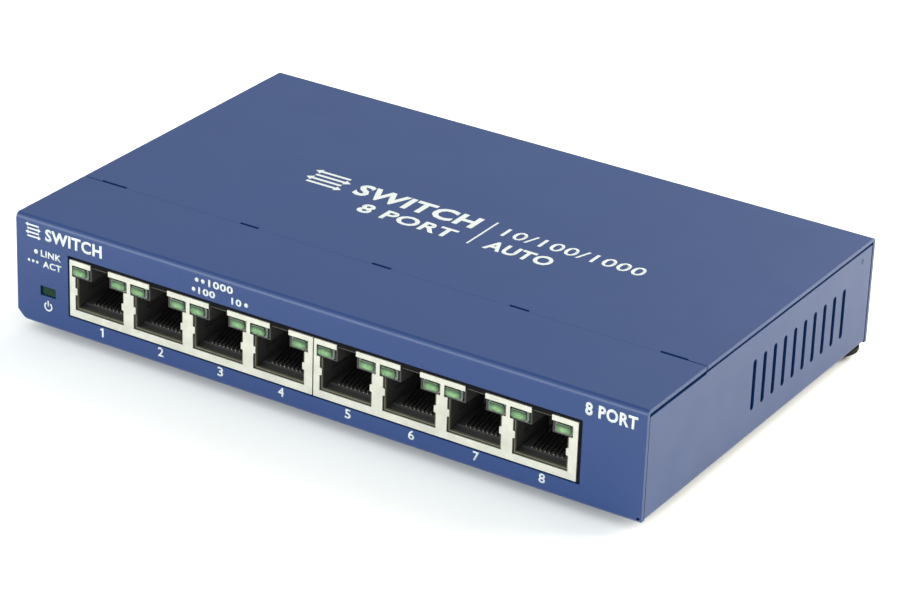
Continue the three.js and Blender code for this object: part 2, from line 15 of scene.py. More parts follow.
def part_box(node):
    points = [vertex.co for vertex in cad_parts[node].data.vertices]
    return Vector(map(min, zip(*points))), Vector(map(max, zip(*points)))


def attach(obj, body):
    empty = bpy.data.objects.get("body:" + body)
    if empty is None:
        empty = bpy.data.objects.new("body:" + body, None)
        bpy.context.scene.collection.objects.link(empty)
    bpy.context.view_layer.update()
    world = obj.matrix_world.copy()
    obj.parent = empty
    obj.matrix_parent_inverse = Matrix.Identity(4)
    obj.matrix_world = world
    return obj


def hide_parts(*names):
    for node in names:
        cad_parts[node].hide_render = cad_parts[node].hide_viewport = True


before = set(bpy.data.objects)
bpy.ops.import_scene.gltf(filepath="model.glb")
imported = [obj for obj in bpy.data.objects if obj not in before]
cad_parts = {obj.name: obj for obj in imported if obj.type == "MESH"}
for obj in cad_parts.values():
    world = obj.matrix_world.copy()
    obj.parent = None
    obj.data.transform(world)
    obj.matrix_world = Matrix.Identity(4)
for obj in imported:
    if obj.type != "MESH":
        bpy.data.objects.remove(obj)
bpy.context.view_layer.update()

MM = 0.001
SCENE = bpy.context.scene
random.seed(8)


def box_mm(node):
    """Lowest and highest corner of a CAD node, in millimetres."""
    low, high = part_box(node)
    return low / MM, high / MM


def middle(node):
    """Middle of a CAD node's box as x, y and z, in millimetres."""
    return [(a + b) / 2 for a, b in zip(*box_mm(node))]


# ---------- places that everything else is worked out from ----------

LEFT, FRONT, FLOOR = box_mm("base_tray")[0]
COVER_LOW, COVER_HIGH = box_mm("top_cover")
RIGHT, REAR, TOP = COVER_HIGH
BOARD_LOW, BOARD_HIGH = box_mm("circuit_board")
BOARD_TOP = BOARD_HIGH.z

# The case's steel: sheet, outer bend radius, and the gaps that its folds leave at the seams.
SHEET = 0.9
BEND = 1.2
INNER_BEND = BEND - SHEET
SEAM_GAP = 0.3
TONGUE_DEPTH = 6.0
SEAM = COVER_LOW.y + TONGUE_DEPTH
CORNER_CUTS = ({"side": -1, "size": 2.5, "depth": 1.7}, {"side": 1, "size": 0.5, "depth": 1.3})
RELIEF = {"inset": 0.8, "rise": 1.1, "radius": 0.38}
SIDE_REAR = REAR - SHEET - 0.45
CORNER_SEAM = 0.22
SIDE_TOP_LIP = TOP - SHEET - 0.85
SIDE_TOP_COVER = TOP - SHEET - 0.6
PORTS_PER_BLOCK = 4
SIDES = ("left", "right")

# Axis and ends of a cut through each wall.
THROUGH = {
    "front": ("y", FRONT - 1, FRONT + SHEET + 0.5),
    "rear": ("y", REAR - 2, REAR + 1),
    "ears": ("y", REAR - 6, REAR + 1),
    "left": ("x", LEFT - 1, LEFT + SHEET + 1),
    "right": ("x", RIGHT - SHEET - 1, RIGHT + 1),
    "floor": ("z", FLOOR - 1, FLOOR + SHEET + 1),
}


# ---------- outlines ----------

def arc(u, v, radius, start, end, steps=8):
    """Points on a circle round (u, v), from start to end in degrees."""
    angles = [math.radians(start + (end - start) * i / steps) for i in range(steps + 1)]
    return [(u + radius * math.cos(a), v + radius * math.sin(a)) for a in angles]


def circle(u, v, radius, steps=32):
    return arc(u, v, radius, 0, 360, steps)[:-1]


def rounded(u0, u1, v0, v1, radius, steps=5):
    """Rectangle with round corners."""
    return (
        arc(u1 - radius, v0 + radius, radius, -90, 0, steps)
        + arc(u1 - radius, v1 - radius, radius, 0, 90, steps)
        + arc(u0 + radius, v1 - radius, radius, 90, 180, steps)
        + arc(u0 + radius, v0 + radius, radius, 180, 270, steps)
    )


def rectangle(u0, u1, v0, v1):
    return [(u0, v0), (u1, v0), (u1, v1), (u0, v1)]


def both_sides(inner, outer):
    """The same span, given outwards from the middle of the case, on the left and on the right."""
    return [sorted((side * inner, side * outer)) for side in (-1, 1)]


# ---------- mesh building ----------

PLACE = {
    "x": lambda u, v, w: (w, u, v),
    "y": lambda u, v, w: (u, w, v),
    "z": lambda u, v, w: (u, v, w),
}
ORDER = {"x": (1, 2, 0), "y": (0, 2, 1), "z": (0, 1, 2)}


def prism(bm, outline, axis, start, end, end_scale=1.0):
    """Closed solid: an outline across the axis, pushed from start to end."""
    place = PLACE[axis]
    mid_u = (min(p[0] for p in outline) + max(p[0] for p in outline)) / 2
    mid_v = (min(p[1] for p in outline) + max(p[1] for p in outline)) / 2
    far = [(mid_u + (u - mid_u) * end_scale, mid_v + (v - mid_v) * end_scale) for u, v in outline]
    near_ring = [bm.verts.new(place(u, v, start)) for u, v in outline]
    far_ring = [bm.verts.new(place(u, v, end)) for u, v in far]
    bm.faces.new(near_ring)
    bm.faces.new(far_ring)
    count = len(outline)
    for i in range(count):
        j = (i + 1) % count
        bm.faces.new((near_ring[i], near_ring[j], far_ring[j], far_ring[i]))


def block(bm, x, y, z):
    """Box between the two ends given for each axis."""
    prism(bm, rectangle(*x, *y), "z", *z)


def box_row(bm, places, half, y, z):
    """Equal boxes along X, each reaching half to both sides of its place."""
    for x in places:
        block(bm, (x - half, x + half), y, z)


def lathe(bm, profile, centre, axis="z", steps=32):
    """Solid of revolution; profile points are (radius, along), and both ends lie on the axis."""
    place = PLACE[axis]
    cu, cv, cw = [centre[k] for k in ORDER[axis]]
    rings = []
    for radius, along in profile:
        if radius == 0:
            rings.append([bm.verts.new(place(cu, cv, cw + along))])
        else:
            rings.append([bm.verts.new(place(u, v, cw + along)) for u, v in circle(cu, cv, radius, steps)])
    for low, high in zip(rings, rings[1:]):
        for i in range(steps):
            j = (i + 1) % steps
            corners = [low[i % len(low)], low[j % len(low)], high[j % len(high)], high[i % len(high)]]
            unique = list(dict.fromkeys(corners))
            bm.faces.new(unique)


def tube(bm, path, radius, sides=8):
    """Round wire along a list of points, closed at both ends."""
    points = [Vector(p) for p in path]
    rings = []
    across = None
    for i, point in enumerate(points):
        ahead = points[min(i + 1, len(points) - 1)] - points[max(i - 1, 0)]
        ahead.normalize()
        if across is None:
            across = ahead.orthogonal().normalized()
        across = (across - ahead * across.dot(ahead)).normalized()
        other = ahead.cross(across)
        ring = []
        for k in range(sides):
            turn = 2 * math.pi * k / sides
            ring.append(bm.verts.new(point + radius * (math.cos(turn) * across + math.sin(turn) * other)))
        rings.append(ring)
    bm.faces.new(rings[0])
    bm.faces.new(rings[-1])
    for low, high in zip(rings, rings[1:]):
        for i in range(sides):
            j = (i + 1) % sides
            bm.faces.new((low[i], low[j], high[j], high[i]))


def strip(bm, path, width, thickness, axis="x"):
    """Flat strip of the given width along axis, bent along a path of points across that axis."""
    upper, lower = [], []
    for i, (u, v) in enumerate(path):
        before, after = path[max(i - 1, 0)], path[min(i + 1, len(path) - 1)]
        du, dv = after[0] - before[0], after[1] - before[1]
        length = math.hypot(du, dv)
        nu, nv = -dv / length * thickness / 2, du / length * thickness / 2
        upper.append((u + nu, v + nv))
        lower.append((u - nu, v - nv))
    prism(bm, upper + lower[::-1], axis, width[0], width[1])


def stand(name, data):
    """New object in the scene."""
    obj = bpy.data.objects.new(name, data)
    SCENE.collection.objects.link(obj)
    return obj


def evaluated(obj):
    """New mesh of an object with its modifiers applied."""
    graph = bpy.context.evaluated_depsgraph_get()
    return bpy.data.meshes.new_from_object(obj.evaluated_get(graph))


def raw(name, bm):
    """The mesh as an object, still in millimetres, with its faces turned out."""
    bmesh.ops.recalc_face_normals(bm, faces=bm.faces)
    mesh = bpy.data.meshes.new(name)
    bm.to_mesh(mesh)
    bm.free()
    return stand(name, mesh)


def build(name, maker, *values):
    """The solids that maker draws from the values given after it, as one object."""
    bm = bmesh.new()
    maker(bm, *values)
    return raw(name, bm)


def carve(obj, maker, *values, operation="DIFFERENCE"):
    """Cuts away the solids that maker draws."""
    tool = build("tool", maker, *values)
    modifier = obj.modifiers.new("carve", "BOOLEAN")
    modifier.object = tool
    modifier.operation = operation
    modifier.solver = "EXACT"
    carved = evaluated(obj)
    spent = (obj.data, tool.data)
    obj.modifiers.clear()
    obj.data = carved
    bpy.data.objects.remove(tool)
    for mesh in spent:
        bpy.data.meshes.remove(mesh)


def join(obj, maker, *values):
    """Adds the solids that maker draws."""
    carve(obj, maker, *values, operation="UNION")


def cross_cut(obj, centre, arm, half, axis, start, end, flare=1.2):
    """Cross-shaped recess, as in a Phillips head: two slots that widen by flare from start to end."""
    u, v = centre
    for reach_u, reach_v in ((arm, half), (half, arm)):
        slot = rectangle(u - reach_u, u + reach_u, v - reach_v, v + reach_v)
        carve(obj, prism, slot, axis, start, end, flare)


def soften(obj, edge, segments, angle, miter, weight):
    """Rounds the edges, given in millimetres, and keeps the shading of flat faces flat."""
    if edge:
        bevel = obj.modifiers.new("edges", "BEVEL")
        bevel.width = edge * MM
        bevel.segments = segments
        bevel.limit_method = "ANGLE"
        bevel.angle_limit = math.radians(angle)
        bevel.miter_outer = miter
    weighted = obj.modifiers.new("flat_faces", "WEIGHTED_NORMAL")
    weighted.keep_sharp = True
    weighted.weight = weight


def coat(obj, material):
    obj.data.materials.clear()
    obj.data.materials.append(material)


def finish(obj, material, node=None, edge=0.0, segments=2, body="case"):
    """Scales a piece to metres, rounds and paints it, and hangs it on its body in a CAD node's place."""
    obj.data.transform(Matrix.Scale(MM, 4))
    for polygon in obj.data.polygons:
        polygon.use_smooth = True
    soften(obj, edge, segments, 30, "MITER_ARC", 80)
    coat(obj, material)
    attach(obj, body)
    if node:
        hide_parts(node)


def dress(node, material, edge=0.15):
    """Better material and rounded edges on a CAD node whose shape is right."""
    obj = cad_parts[node]
    coat(obj, material)
    soften(obj, edge, 2, 40, "MITER_SHARP", 50)


# ---------- materials ----------

class Nodes:
    """Small wrapper that adds and links shader nodes."""

    def __init__(self, name):
        self.material = bpy.data.materials.new(name)
        self.material.use_nodes = True
        self.tree = self.material.node_tree
        self.shader = self.tree.nodes["Principled BSDF"]
        self.place = self.tree.nodes.new("ShaderNodeTexCoord").outputs["Object"]

    def add(self, kind, **settings):
        node = self.tree.nodes.new(kind)
        for key, value in settings.items():
            setattr(node, key, value)
        return node

    def link(self, source, target):
        self.tree.links.new(source, target)

    def pattern(self, kind, size_mm, place=None, **settings):
        """Texture node whose blobs or cells are about size_mm across."""
        node = self.add(kind, **settings)
        node.inputs["Scale"].default_value = 1 / (size_mm * MM)
        self.link(place or self.place, node.inputs["Vector"])
        return node

    def noise(self, size_mm, detail=2.0, place=None):
        node = self.pattern("ShaderNodeTexNoise", size_mm, place)
        node.inputs["Detail"].default_value = detail
        return node.outputs["Fac"]

    def cells(self, size_mm, randomness, feature):
        """Distance from the edges or the middles of random cells."""
        node = self.pattern("ShaderNodeTexVoronoi", size_mm, feature=feature)
        node.inputs["Randomness"].default_value = randomness
        return node.outputs["Distance"]

    def stretched(self, place, scale, location=(0, 0, 0)):
        node = self.add("ShaderNodeMapping")
        node.inputs["Scale"].default_value = scale
        node.inputs["Location"].default_value = location
        self.link(place, node.inputs["Vector"])
        return node.outputs["Vector"]

    def spread(self, source, low, high, source_low=0.3, source_high=0.7):
        """Maps a source's middle range to low..high."""
        node = self.add("ShaderNodeMapRange")
        node.inputs["From Min"].default_value = source_low
        node.inputs["From Max"].default_value = source_high
        node.inputs["To Min"].default_value = low
        node.inputs["To Max"].default_value = high
        self.link(source, node.inputs["Value"])
        return node.outputs["Result"]

    def mix(self, amount, first, second):
        """Colour between two colours or sockets."""
        node = self.add("ShaderNodeMix", data_type="RGBA")
        self.link(amount, node.inputs["Factor"])
        for value, socket in ((first, node.inputs["A"]), (second, node.inputs["B"])):
            if isinstance(value, tuple):
                socket.default_value = (*value, 1)
            else:
                self.link(value, socket)
        return node.outputs["Result"]

    def bump(self, source, depth_mm, strength=1.0, onto=None):
        node = self.add("ShaderNodeBump")
        node.inputs["Strength"].default_value = strength
        node.inputs["Distance"].default_value = depth_mm * MM
        self.link(source, node.inputs["Height"])
        if onto:
            self.link(onto, node.inputs["Normal"])
        return node.outputs["Normal"]

    def set(self, **inputs):
        for key, value in inputs.items():
            socket = self.shader.inputs[key.replace("_", " ")]
            if isinstance(value, bpy.types.NodeSocket):
                self.link(value, socket)
            elif isinstance(value, tuple) and len(value) == 3 and "Color" in key:
                socket.default_value = (*value, 1)
            else:
                socket.default_value = value


def powder_coat():
    """Semi-gloss blue powder coat: fine orange peel, faint speckle, uneven gloss."""
    n = Nodes("powder_coat")
    speckle = n.noise(0.35, 3)
    cloud = n.noise(22, 2)
    tone = n.mix(n.spread(cloud, 0, 1), (0.0008, 0.0210, 0.104), (0.0013, 0.0230, 0.111))
    fine = n.mix(n.spread(speckle, 0, 0.35), tone, (0.0025, 0.0290, 0.130))
    peel = n.bump(n.noise(0.9, 2), 0.010, 0.55)
    grit = n.bump(n.noise(0.22, 2), 0.003, 0.35, onto=peel)
    n.set(Base_Color=fine, Roughness=n.spread(n.noise(9, 3), 0.35, 0.40), Normal=grit,
          Specular_IOR_Level=0.53)
    return n.material


def printed_ink():
    """White screen-printed ink with slightly broken coverage."""
    n = Nodes("printed_ink")
    wear = n.spread(n.noise(0.18, 3), 0, 1, 0.25, 0.5)
    n.set(Base_Color=n.mix(wear, (0.36, 0.385, 0.41), (0.48, 0.505, 0.515)), Roughness=0.5,
          Normal=n.bump(n.noise(0.12, 2), 0.004, 0.5))
    return n.material


def tin_plate():
    """Bright tin plate with a warm cast, faint rolling lines and dull patches."""
    n = Nodes("tin_plate")
    lines = n.noise(0.16, 3, n.stretched(n.place, (0.12, 1, 1)))
    patch = n.noise(2.6, 3)
    n.set(Base_Color=n.mix(n.spread(patch, 0, 1), (0.47, 0.465, 0.405), (0.545, 0.54, 0.475)),
          Metallic=0.5, Roughness=n.spread(n.noise(1.4, 3), 0.30, 0.46),
          Normal=n.bump(lines, 0.004, 0.4))
    return n.material


def metal(name, colour, rough, grain_mm=0.25, depth_mm=0.004):
    n = Nodes(name)
    stain = n.spread(n.noise(3.5, 3), 0, 1)
    dull = tuple(c * 0.86 for c in colour)
    n.set(Base_Color=n.mix(stain, dull, colour), Metallic=1.0,
          Roughness=n.spread(n.noise(1.2, 3), rough * 0.8, rough * 1.25),
          Normal=n.bump(n.noise(grain_mm, 3), depth_mm, 0.5))
    return n.material


def moulded(name, colour, rough, grain_mm=0.12, depth_mm=0.004, light=0.012, gloss=0.5):
    """Moulded plastic, epoxy or rubber with a fine grain."""
    n = Nodes(name)
    paler = tuple(min(1, c + light) for c in colour)
    n.set(Base_Color=n.mix(n.spread(n.noise(2.2, 3), 0, 1), colour, paler),
          Roughness=n.spread(n.noise(3.0, 3), rough * 0.85, rough * 1.15), Specular_IOR_Level=gloss,
          Normal=n.bump(n.noise(grain_mm, 3), depth_mm, 0.6))
    return n.material


def lens(name, shade_tint, highlight_tint, through, coat=0.25, gloss=0.5):
    """Tinted clear plastic. Painted shade makes it dark and saturated under its top edge, and a painted
    highlight makes it lighter below and in the middle.
    """
    n = Nodes(name)
    across_lens = n.add("ShaderNodeTexCoord").outputs["Generated"]
    # Spherical gradient that paints the shade under the top edge and the highlight in the middle of the
    # lens.
    shade_highlight_gradient = n.add("ShaderNodeTexGradient", gradient_type="SPHERICAL")
    n.link(n.stretched(across_lens, (1.2, 0.1, 1.6), (-0.60, -0.05, -0.55)), shade_highlight_gradient.inputs["Vector"])
    middle = n.mix(n.spread(n.noise(0.8, 2), 0, 1), tuple(0.6 * c for c in highlight_tint), highlight_tint)
    n.set(Base_Color=n.mix(n.spread(shade_highlight_gradient.outputs["Fac"], 0, 1, 0.22, 0.80), shade_tint, middle), Roughness=0.16,
          Transmission_Weight=through, Subsurface_Weight=0.35, Subsurface_Scale=0.0008,
          Subsurface_Radius=(0.4, 1.0, 0.4), Coat_Weight=coat, Coat_Roughness=0.05, Specular_IOR_Level=gloss,
          Normal=n.bump(n.noise(0.8, 2), 0.006, 0.35))
    return n.material


def solder_mask():
    """Green solder mask over copper tracks: the tracks and pads stand a little proud and paler."""
    n = Nodes("solder_mask")
    copper = n.spread(n.cells(4.2, 0.55, "DISTANCE_TO_EDGE"), 1, 0, 0.05, 0.09)
    via = n.spread(n.cells(2.9, 0.8, "F1"), 1, 0, 0.085, 0.1)
    mask = n.mix(copper, (0.006, 0.075, 0.030), (0.018, 0.150, 0.060))
    n.set(Base_Color=n.mix(via, mask, (0.45, 0.42, 0.30)), Metallic=n.spread(via, 0, 0.8, 0, 1),
          Roughness=n.spread(n.noise(2.5, 3), 0.22, 0.34), Coat_Weight=0.4,
          Normal=n.bump(copper, 0.03, 0.6))
    return n.material


def floor_paper():
    n = Nodes("floor_paper")
    tone = n.spread(n.noise(60, 3), 0, 1)
    n.set(Base_Color=n.mix(tone, (0.95, 0.94, 0.94), (0.97, 0.96, 0.96)), Roughness=0.8,
          Specular_IOR_Level=0.2)
    return n.material


PAINT = powder_coat()
INK = printed_ink()
TIN = tin_plate()
ZINC = metal("zinc_screw", (0.44, 0.45, 0.47), 0.26)
NICKEL = metal("bright_nickel", (0.74, 0.73, 0.70), 0.22)
SOLDER = metal("solder", (0.70, 0.71, 0.72), 0.34)
# The gilt contact wires are coloured nearly black: painted shade for the dark inside the ports.
SHADED_GOLD = metal("shaded_gold_contact", (0.030, 0.027, 0.022), 0.5, 0.1, 0.002)
# Paler bronze for the wires' noses: a painted highlight where light catches them at the front.
NOSE_HIGHLIGHT = metal("contact_nose_highlight", (0.46, 0.41, 0.34), 0.45, 0.1, 0.002)
BRASS = metal("brass_ring", (0.72, 0.58, 0.30), 0.35)
ALUMINIUM = metal("heatsink_aluminium", (0.70, 0.71, 0.73), 0.36, 0.16, 0.008)
BLACK = moulded("black_moulding", (0.010, 0.010, 0.011), 0.30)
# Black gasket material: painted shade in the gaps round the port blocks.
SHADE_SEAL = moulded("painted_shade_seal", (0.004, 0.004, 0.005), 0.8, 0.3, 0.010, light=0.002, gloss=0.05)
CARRIER = moulded("carrier_black", (0.030, 0.030, 0.030), 0.65, light=0.004, gloss=0.05)
PORT_BLACK = moulded("port_black", (0.042, 0.041, 0.040), 0.6, light=0.006, gloss=0.08)
RIM = moulded("housing_rim", (0.075, 0.068, 0.040), 0.34, light=0.03)
EPOXY = moulded("chip_epoxy", (0.018, 0.018, 0.020), 0.46)
RUBBER = moulded("foot_rubber", (0.007, 0.007, 0.007), 0.7, 0.3, 0.012, light=0.004, gloss=0.15)
FERRITE = moulded("ferrite", (0.045, 0.045, 0.050), 0.55, 0.2, 0.015)
SLEEVE = moulded("capacitor_sleeve", (0.012, 0.020, 0.060), 0.28, 0.5, 0.003)
CERAMIC = moulded("ceramic_chip", (0.42, 0.30, 0.17), 0.42)
GREEN_LENS = lens("green_lens", (0.008, 0.040, 0.010), (0.19, 0.37, 0.16), 0.1)
CLEAR_LENS = lens("clear_rim", (0.22, 0.27, 0.23), (0.32, 0.37, 0.33), 0.6)
POWER_LENS = lens("power_lens", (0.003, 0.020, 0.009), (0.008, 0.050, 0.020), 0.0, 0.0, 0.15)
MASK = solder_mask()


# ---------- base tray ----------

VENTS = {"count": 10, "first": 46.0, "pitch": 4.57, "width": 1.5, "bottom": 6.3, "top": 18.2}
KEYHOLES = {"across": 45.0, "from_front": 66.5, "head": 3.8, "shank": 1.9, "reach": 6.5}
TAB = {"inner": 66.0, "bottom": 6.0, "top": 18.6, "corner": 0.4}
DIMPLE = {"from_front": 94.9, "rise": 21.9, "radius": 0.7, "depth": 0.08}
WINDOW_GAP = {"left": 0.3, "right": 1.05, "below": 0.25, "above": 0.95, "corner": 0.25}
LAMP_GAP = 0.12
SCREW_HOLE = 1.75
SCREW_X, SCREW_Z = middle("cover_screw_right")[::2]
SHIELD_LOW = box_mm("jack_shield_left")[0]
SHIELD_HIGH = box_mm("jack_shield_right")[1]
POWER_LOW, POWER_HIGH = box_mm("power_led")
POWER_Z = (POWER_HIGH.z - 2.06, POWER_HIGH.z)


def tray_front(bm):
    """Floor edge, front panel and lip in one bend line, seen from the side."""
    low_y, low_z, high_z = FRONT + BEND, FLOOR + BEND, TOP - BEND
    floor_end = FRONT + 8
    outline = [(floor_end, FLOOR + SHEET), (floor_end, FLOOR)]
    outline += arc(low_y, low_z, BEND, 270, 180)
    outline += arc(low_y, high_z, BEND, 180, 90)
    outline += [(SEAM, TOP), (SEAM, TOP - SHEET)]
    outline += arc(low_y, high_z, INNER_BEND, 90, 180, 4)
    outline += arc(low_y, low_z, INNER_BEND, 180, 270, 4)
    prism(bm, outline, "x", LEFT, RIGHT)


def tray_floor_ends(bm):
    """Ends of the front fold's floor, which give way to the bends of the sides."""
    for span in both_sides(RIGHT - BEND - 0.3, RIGHT + 1):
        block(bm, span, (FRONT + 1.3, FRONT + 9), (FLOOR - 1, FLOOR + SHEET + 0.2))


def tray_sides(bm):
    """Floor and both sides in one bend line, seen from the front."""
    bend_x, low_z = RIGHT - BEND, FLOOR + BEND
    outline = [(LEFT + SHEET, SIDE_TOP_COVER), (LEFT, SIDE_TOP_COVER)]
    outline += arc(-bend_x, low_z, BEND, 180, 270)
    outline += arc(bend_x, low_z, BEND, 270, 360)
    outline += [(RIGHT, SIDE_TOP_COVER), (RIGHT - SHEET, SIDE_TOP_COVER)]
    outline += arc(bend_x, low_z, INNER_BEND, 360, 270, 4)
    outline += arc(-bend_x, low_z, INNER_BEND, 270, 180, 4)
    prism(bm, outline, "y", FRONT + SHEET + CORNER_SEAM, SIDE_REAR)


def tray_tabs(bm):
    """Ears turned in from the sides, which the cover screws bite into."""
    back = REAR - SHEET - SEAM_GAP
    for low, high in both_sides(TAB["inner"], RIGHT - SHEET / 2):
        ear = rounded(low, high, FLOOR + TAB["bottom"], FLOOR + TAB["top"], TAB["corner"])
        prism(bm, ear, "y", back - SHEET, back)


def tray_windows(bm):
    """Jack window and lamp window in the front panel, screw holes in the ears."""
    gap = WINDOW_GAP
    jacks = rounded(SHIELD_LOW.x - gap["left"], SHIELD_HIGH.x + gap["right"],
                    SHIELD_LOW.z - gap["below"], SHIELD_HIGH.z + gap["above"], gap["corner"])
    lamp = rounded(POWER_LOW.x - LAMP_GAP, POWER_HIGH.x + LAMP_GAP,
                   POWER_Z[0] - LAMP_GAP, POWER_Z[1] + LAMP_GAP, 0.2)
    prism(bm, jacks, *THROUGH["front"])
    prism(bm, lamp, *THROUGH["front"])
    for side in (-1, 1):
        prism(bm, circle(side * SCREW_X, SCREW_Z, SCREW_HOLE, 24), *THROUGH["ears"])


def tray_corners(bm):
    """Clipped lower corners of the front panel, and the small relief hole in the right one."""
    for cut in CORNER_CUTS:
        side, reach = cut["side"], cut["size"] + 2
        edge, low = side * (RIGHT + 1), FLOOR - 1
        corner = [(edge, low), (edge, low + reach), (edge - side * reach, low)]
        prism(bm, corner, "y", FRONT - 1, FRONT + cut["depth"])
    hole = circle(RIGHT - RELIEF["inset"], FLOOR + RELIEF["rise"], RELIEF["radius"], 20)
    prism(bm, hole, *THROUGH["front"])


def tray_shoulders(bm):
    """Lower top edge of the sides under the lip."""
    for span in both_sides(RIGHT - SHEET - 1, RIGHT + 1):
        block(bm, span, (FRONT + SHEET + 0.1, SEAM), (SIDE_TOP_LIP, SIDE_TOP_COVER + 0.3))


def corner_flanges(bm):
    """Narrow flanges of the front panel that close its seams with the sides from inside."""
    inside = FRONT + SHEET
    for span in both_sides(RIGHT - SHEET + 0.05, RIGHT - 0.14):
        block(bm, span, (inside - 0.1, inside + 0.5), (FLOOR + 4, SIDE_TOP_LIP - 0.3))


def tray_dimple(bm):
    """Shallow round press mark near the rear of each side."""
    mark = circle(FRONT + DIMPLE["from_front"], FLOOR + DIMPLE["rise"], DIMPLE["radius"], 24)
    for side in (-1, 1):
        edge = side * RIGHT
        prism(bm, mark, "x", edge - side * DIMPLE["depth"], edge + side, 1.1)


def tray_vents(bm):
    half = VENTS["width"] / 2
    low, high = FLOOR + VENTS["bottom"], FLOOR + VENTS["top"]
    for i in range(VENTS["count"]):
        y = FRONT + VENTS["first"] + i * VENTS["pitch"]
        slot = rounded(y - half, y + half, low, high, half - 0.01)
        prism(bm, slot, *THROUGH["left"])
        prism(bm, slot, *THROUGH["right"])


def tray_keyholes(tray):
    """Two keyholes in the floor: a round hole for a screw's head and a slot to its rear."""
    half, y = KEYHOLES["shank"], FRONT + KEYHOLES["from_front"]
    for x in (-KEYHOLES["across"], KEYHOLES["across"]):
        slot = rounded(x - half, x + half, y, y + KEYHOLES["reach"], half - 0.01)
        carve(tray, prism, circle(x, y, KEYHOLES["head"]), *THROUGH["floor"])
        carve(tray, prism, slot, *THROUGH["floor"])


def base_tray():
    tray = build("tray_sheet", tray_front)
    carve(tray, tray_floor_ends)
    join(tray, tray_sides)
    join(tray, tray_tabs)
    for cutter in (tray_shoulders, tray_windows, tray_corners, tray_vents, tray_dimple):
        carve(tray, cutter)
    tray_keyholes(tray)
    finish(tray, PAINT, "base_tray", 0.14, segments=3)
    finish(build("tray_corner_flanges", corner_flanges), PAINT, "base_tray")


# ---------- top cover ----------

NOTCHES = ((-74.2, -67.4), (-36.6, -31.8), (-2.3, 2.6), (32.0, 36.8), (68.0, 74.4))
NOTCH_GAP = 0.8
LIP_GAP = 0.05
CORNER_GAP = 0.3
TONGUE_DROP = SHEET + SEAM_GAP
FLANGE_DROP = 5.5
FLANGE_EDGE = RIGHT - SHEET - 0.35
DC_LOW, DC_HIGH = box_mm("dc_jack")
DC_X = middle("dc_jack")[0]
DC_Z = DC_LOW.z + 6.4
DC_HOLE = 4.6
LOCK_SLOT = {"x": -48.0, "above_floor": 14.0, "width": 7.2, "height": 3.1, "corner": 1.0}


def cover_fold(bm):
    """Top and rear panel in one bend line, seen from the side."""
    bend_y, bend_z = REAR - BEND, TOP - BEND
    start, bottom = SEAM + LIP_GAP, FLOOR + 0.1
    outline = [(start, TOP), (start, TOP - SHEET)]
    outline += arc(bend_y, bend_z, INNER_BEND, 90, 0, 4)
    outline += [(REAR - SHEET, bottom), (REAR, bottom)]
    outline += arc(bend_y, bend_z, BEND, 0, 90)
    prism(bm, outline, "x", LEFT, RIGHT)


def cover_tongues(bm):
    """Tongues that step down behind the lip and reach forward under it."""
    top, tip = TOP - TONGUE_DROP, SEAM - TONGUE_DEPTH
    root, middle_z = SEAM + 1.9, TOP - SHEET / 2
    outline = [(SEAM + 0.25, middle_z), (SEAM + 0.25, top), (tip + 0.8, top), (tip, top - 0.3),
               (tip, top - SHEET), (SEAM + 0.5, top - SHEET), (root, TOP - SHEET + 0.06), (root, middle_z)]
    for (_, start), (end, _) in zip(NOTCHES, NOTCHES[1:]):
        prism(bm, outline, "x", start + 0.1, end - 0.1)


def cover_notches(bm):
    """Wider gaps in front of the cover between the tongues."""
    for notch in NOTCHES:
        block(bm, notch, (SEAM - 1, SEAM + NOTCH_GAP), (TOP - SHEET - 0.1, TOP + 1))


def cover_corners(bm):
    """Slightly wider gaps in front of the cover at both corners."""
    for span in ((LEFT - 1, NOTCHES[0][0] + 0.6), (NOTCHES[-1][1] - 0.6, RIGHT + 1)):
        block(bm, span, (SEAM - 1.2, SEAM + CORNER_GAP), (TOP - SHEET - 0.2, TOP + 1.2))


def cover_flanges(bm):
    """Flanges turned down along both sides, their lower corners cut off."""
    low, high = TOP - FLANGE_DROP, TOP - SHEET / 2
    front, back = SEAM + 4, REAR - 3
    outline = [(front, high), (front, low + 2), (front + 2, low), (back - 2, low), (back, low + 2),
               (back, high)]
    for span in both_sides(FLANGE_EDGE - SHEET, FLANGE_EDGE):
        prism(bm, outline, "x", *span)


def cover_holes(bm):
    """Screw holes, the opening for the power inlet and the slot for a cable lock."""
    for side in (-1, 1):
        prism(bm, circle(side * SCREW_X, SCREW_Z, SCREW_HOLE, 24), *THROUGH["rear"])
    prism(bm, circle(DC_X, DC_Z, DC_HOLE, 48), *THROUGH["rear"])
    half, rise = LOCK_SLOT["width"] / 2, LOCK_SLOT["height"] / 2
    x, z = LOCK_SLOT["x"], FLOOR + LOCK_SLOT["above_floor"]
    prism(bm, rounded(x - half, x + half, z - rise, z + rise, LOCK_SLOT["corner"]), *THROUGH["rear"])


def top_cover():
    cover = build("cover_sheet", cover_fold)
    carve(cover, cover_corners)
    carve(cover, cover_notches)
    join(cover, cover_tongues)
    join(cover, cover_flanges)
    carve(cover, cover_holes)
    finish(cover, PAINT, "top_cover", 0.14, segments=3, body="top_cover")


# ---------- printed marks ----------

INK_THICKNESS = 0.03
INK_LIFT = 0.012
CAPITALS = 0.70
DIGITS = {"shift": 0.9, "rise": 3.2, "height": 2.1, "width": 1.5}
PLANES = {
    "front": Matrix(((1, 0, 0, 0), (0, 0, -1, 0), (0, 1, 0, 0), (0, 0, 0, 1))),
    "top": Matrix.Identity(4),
    "rear": Matrix(((-1, 0, 0, 0), (0, 0, 1, 0), (0, 1, 0, 0), (0, 0, 0, 1))),
}


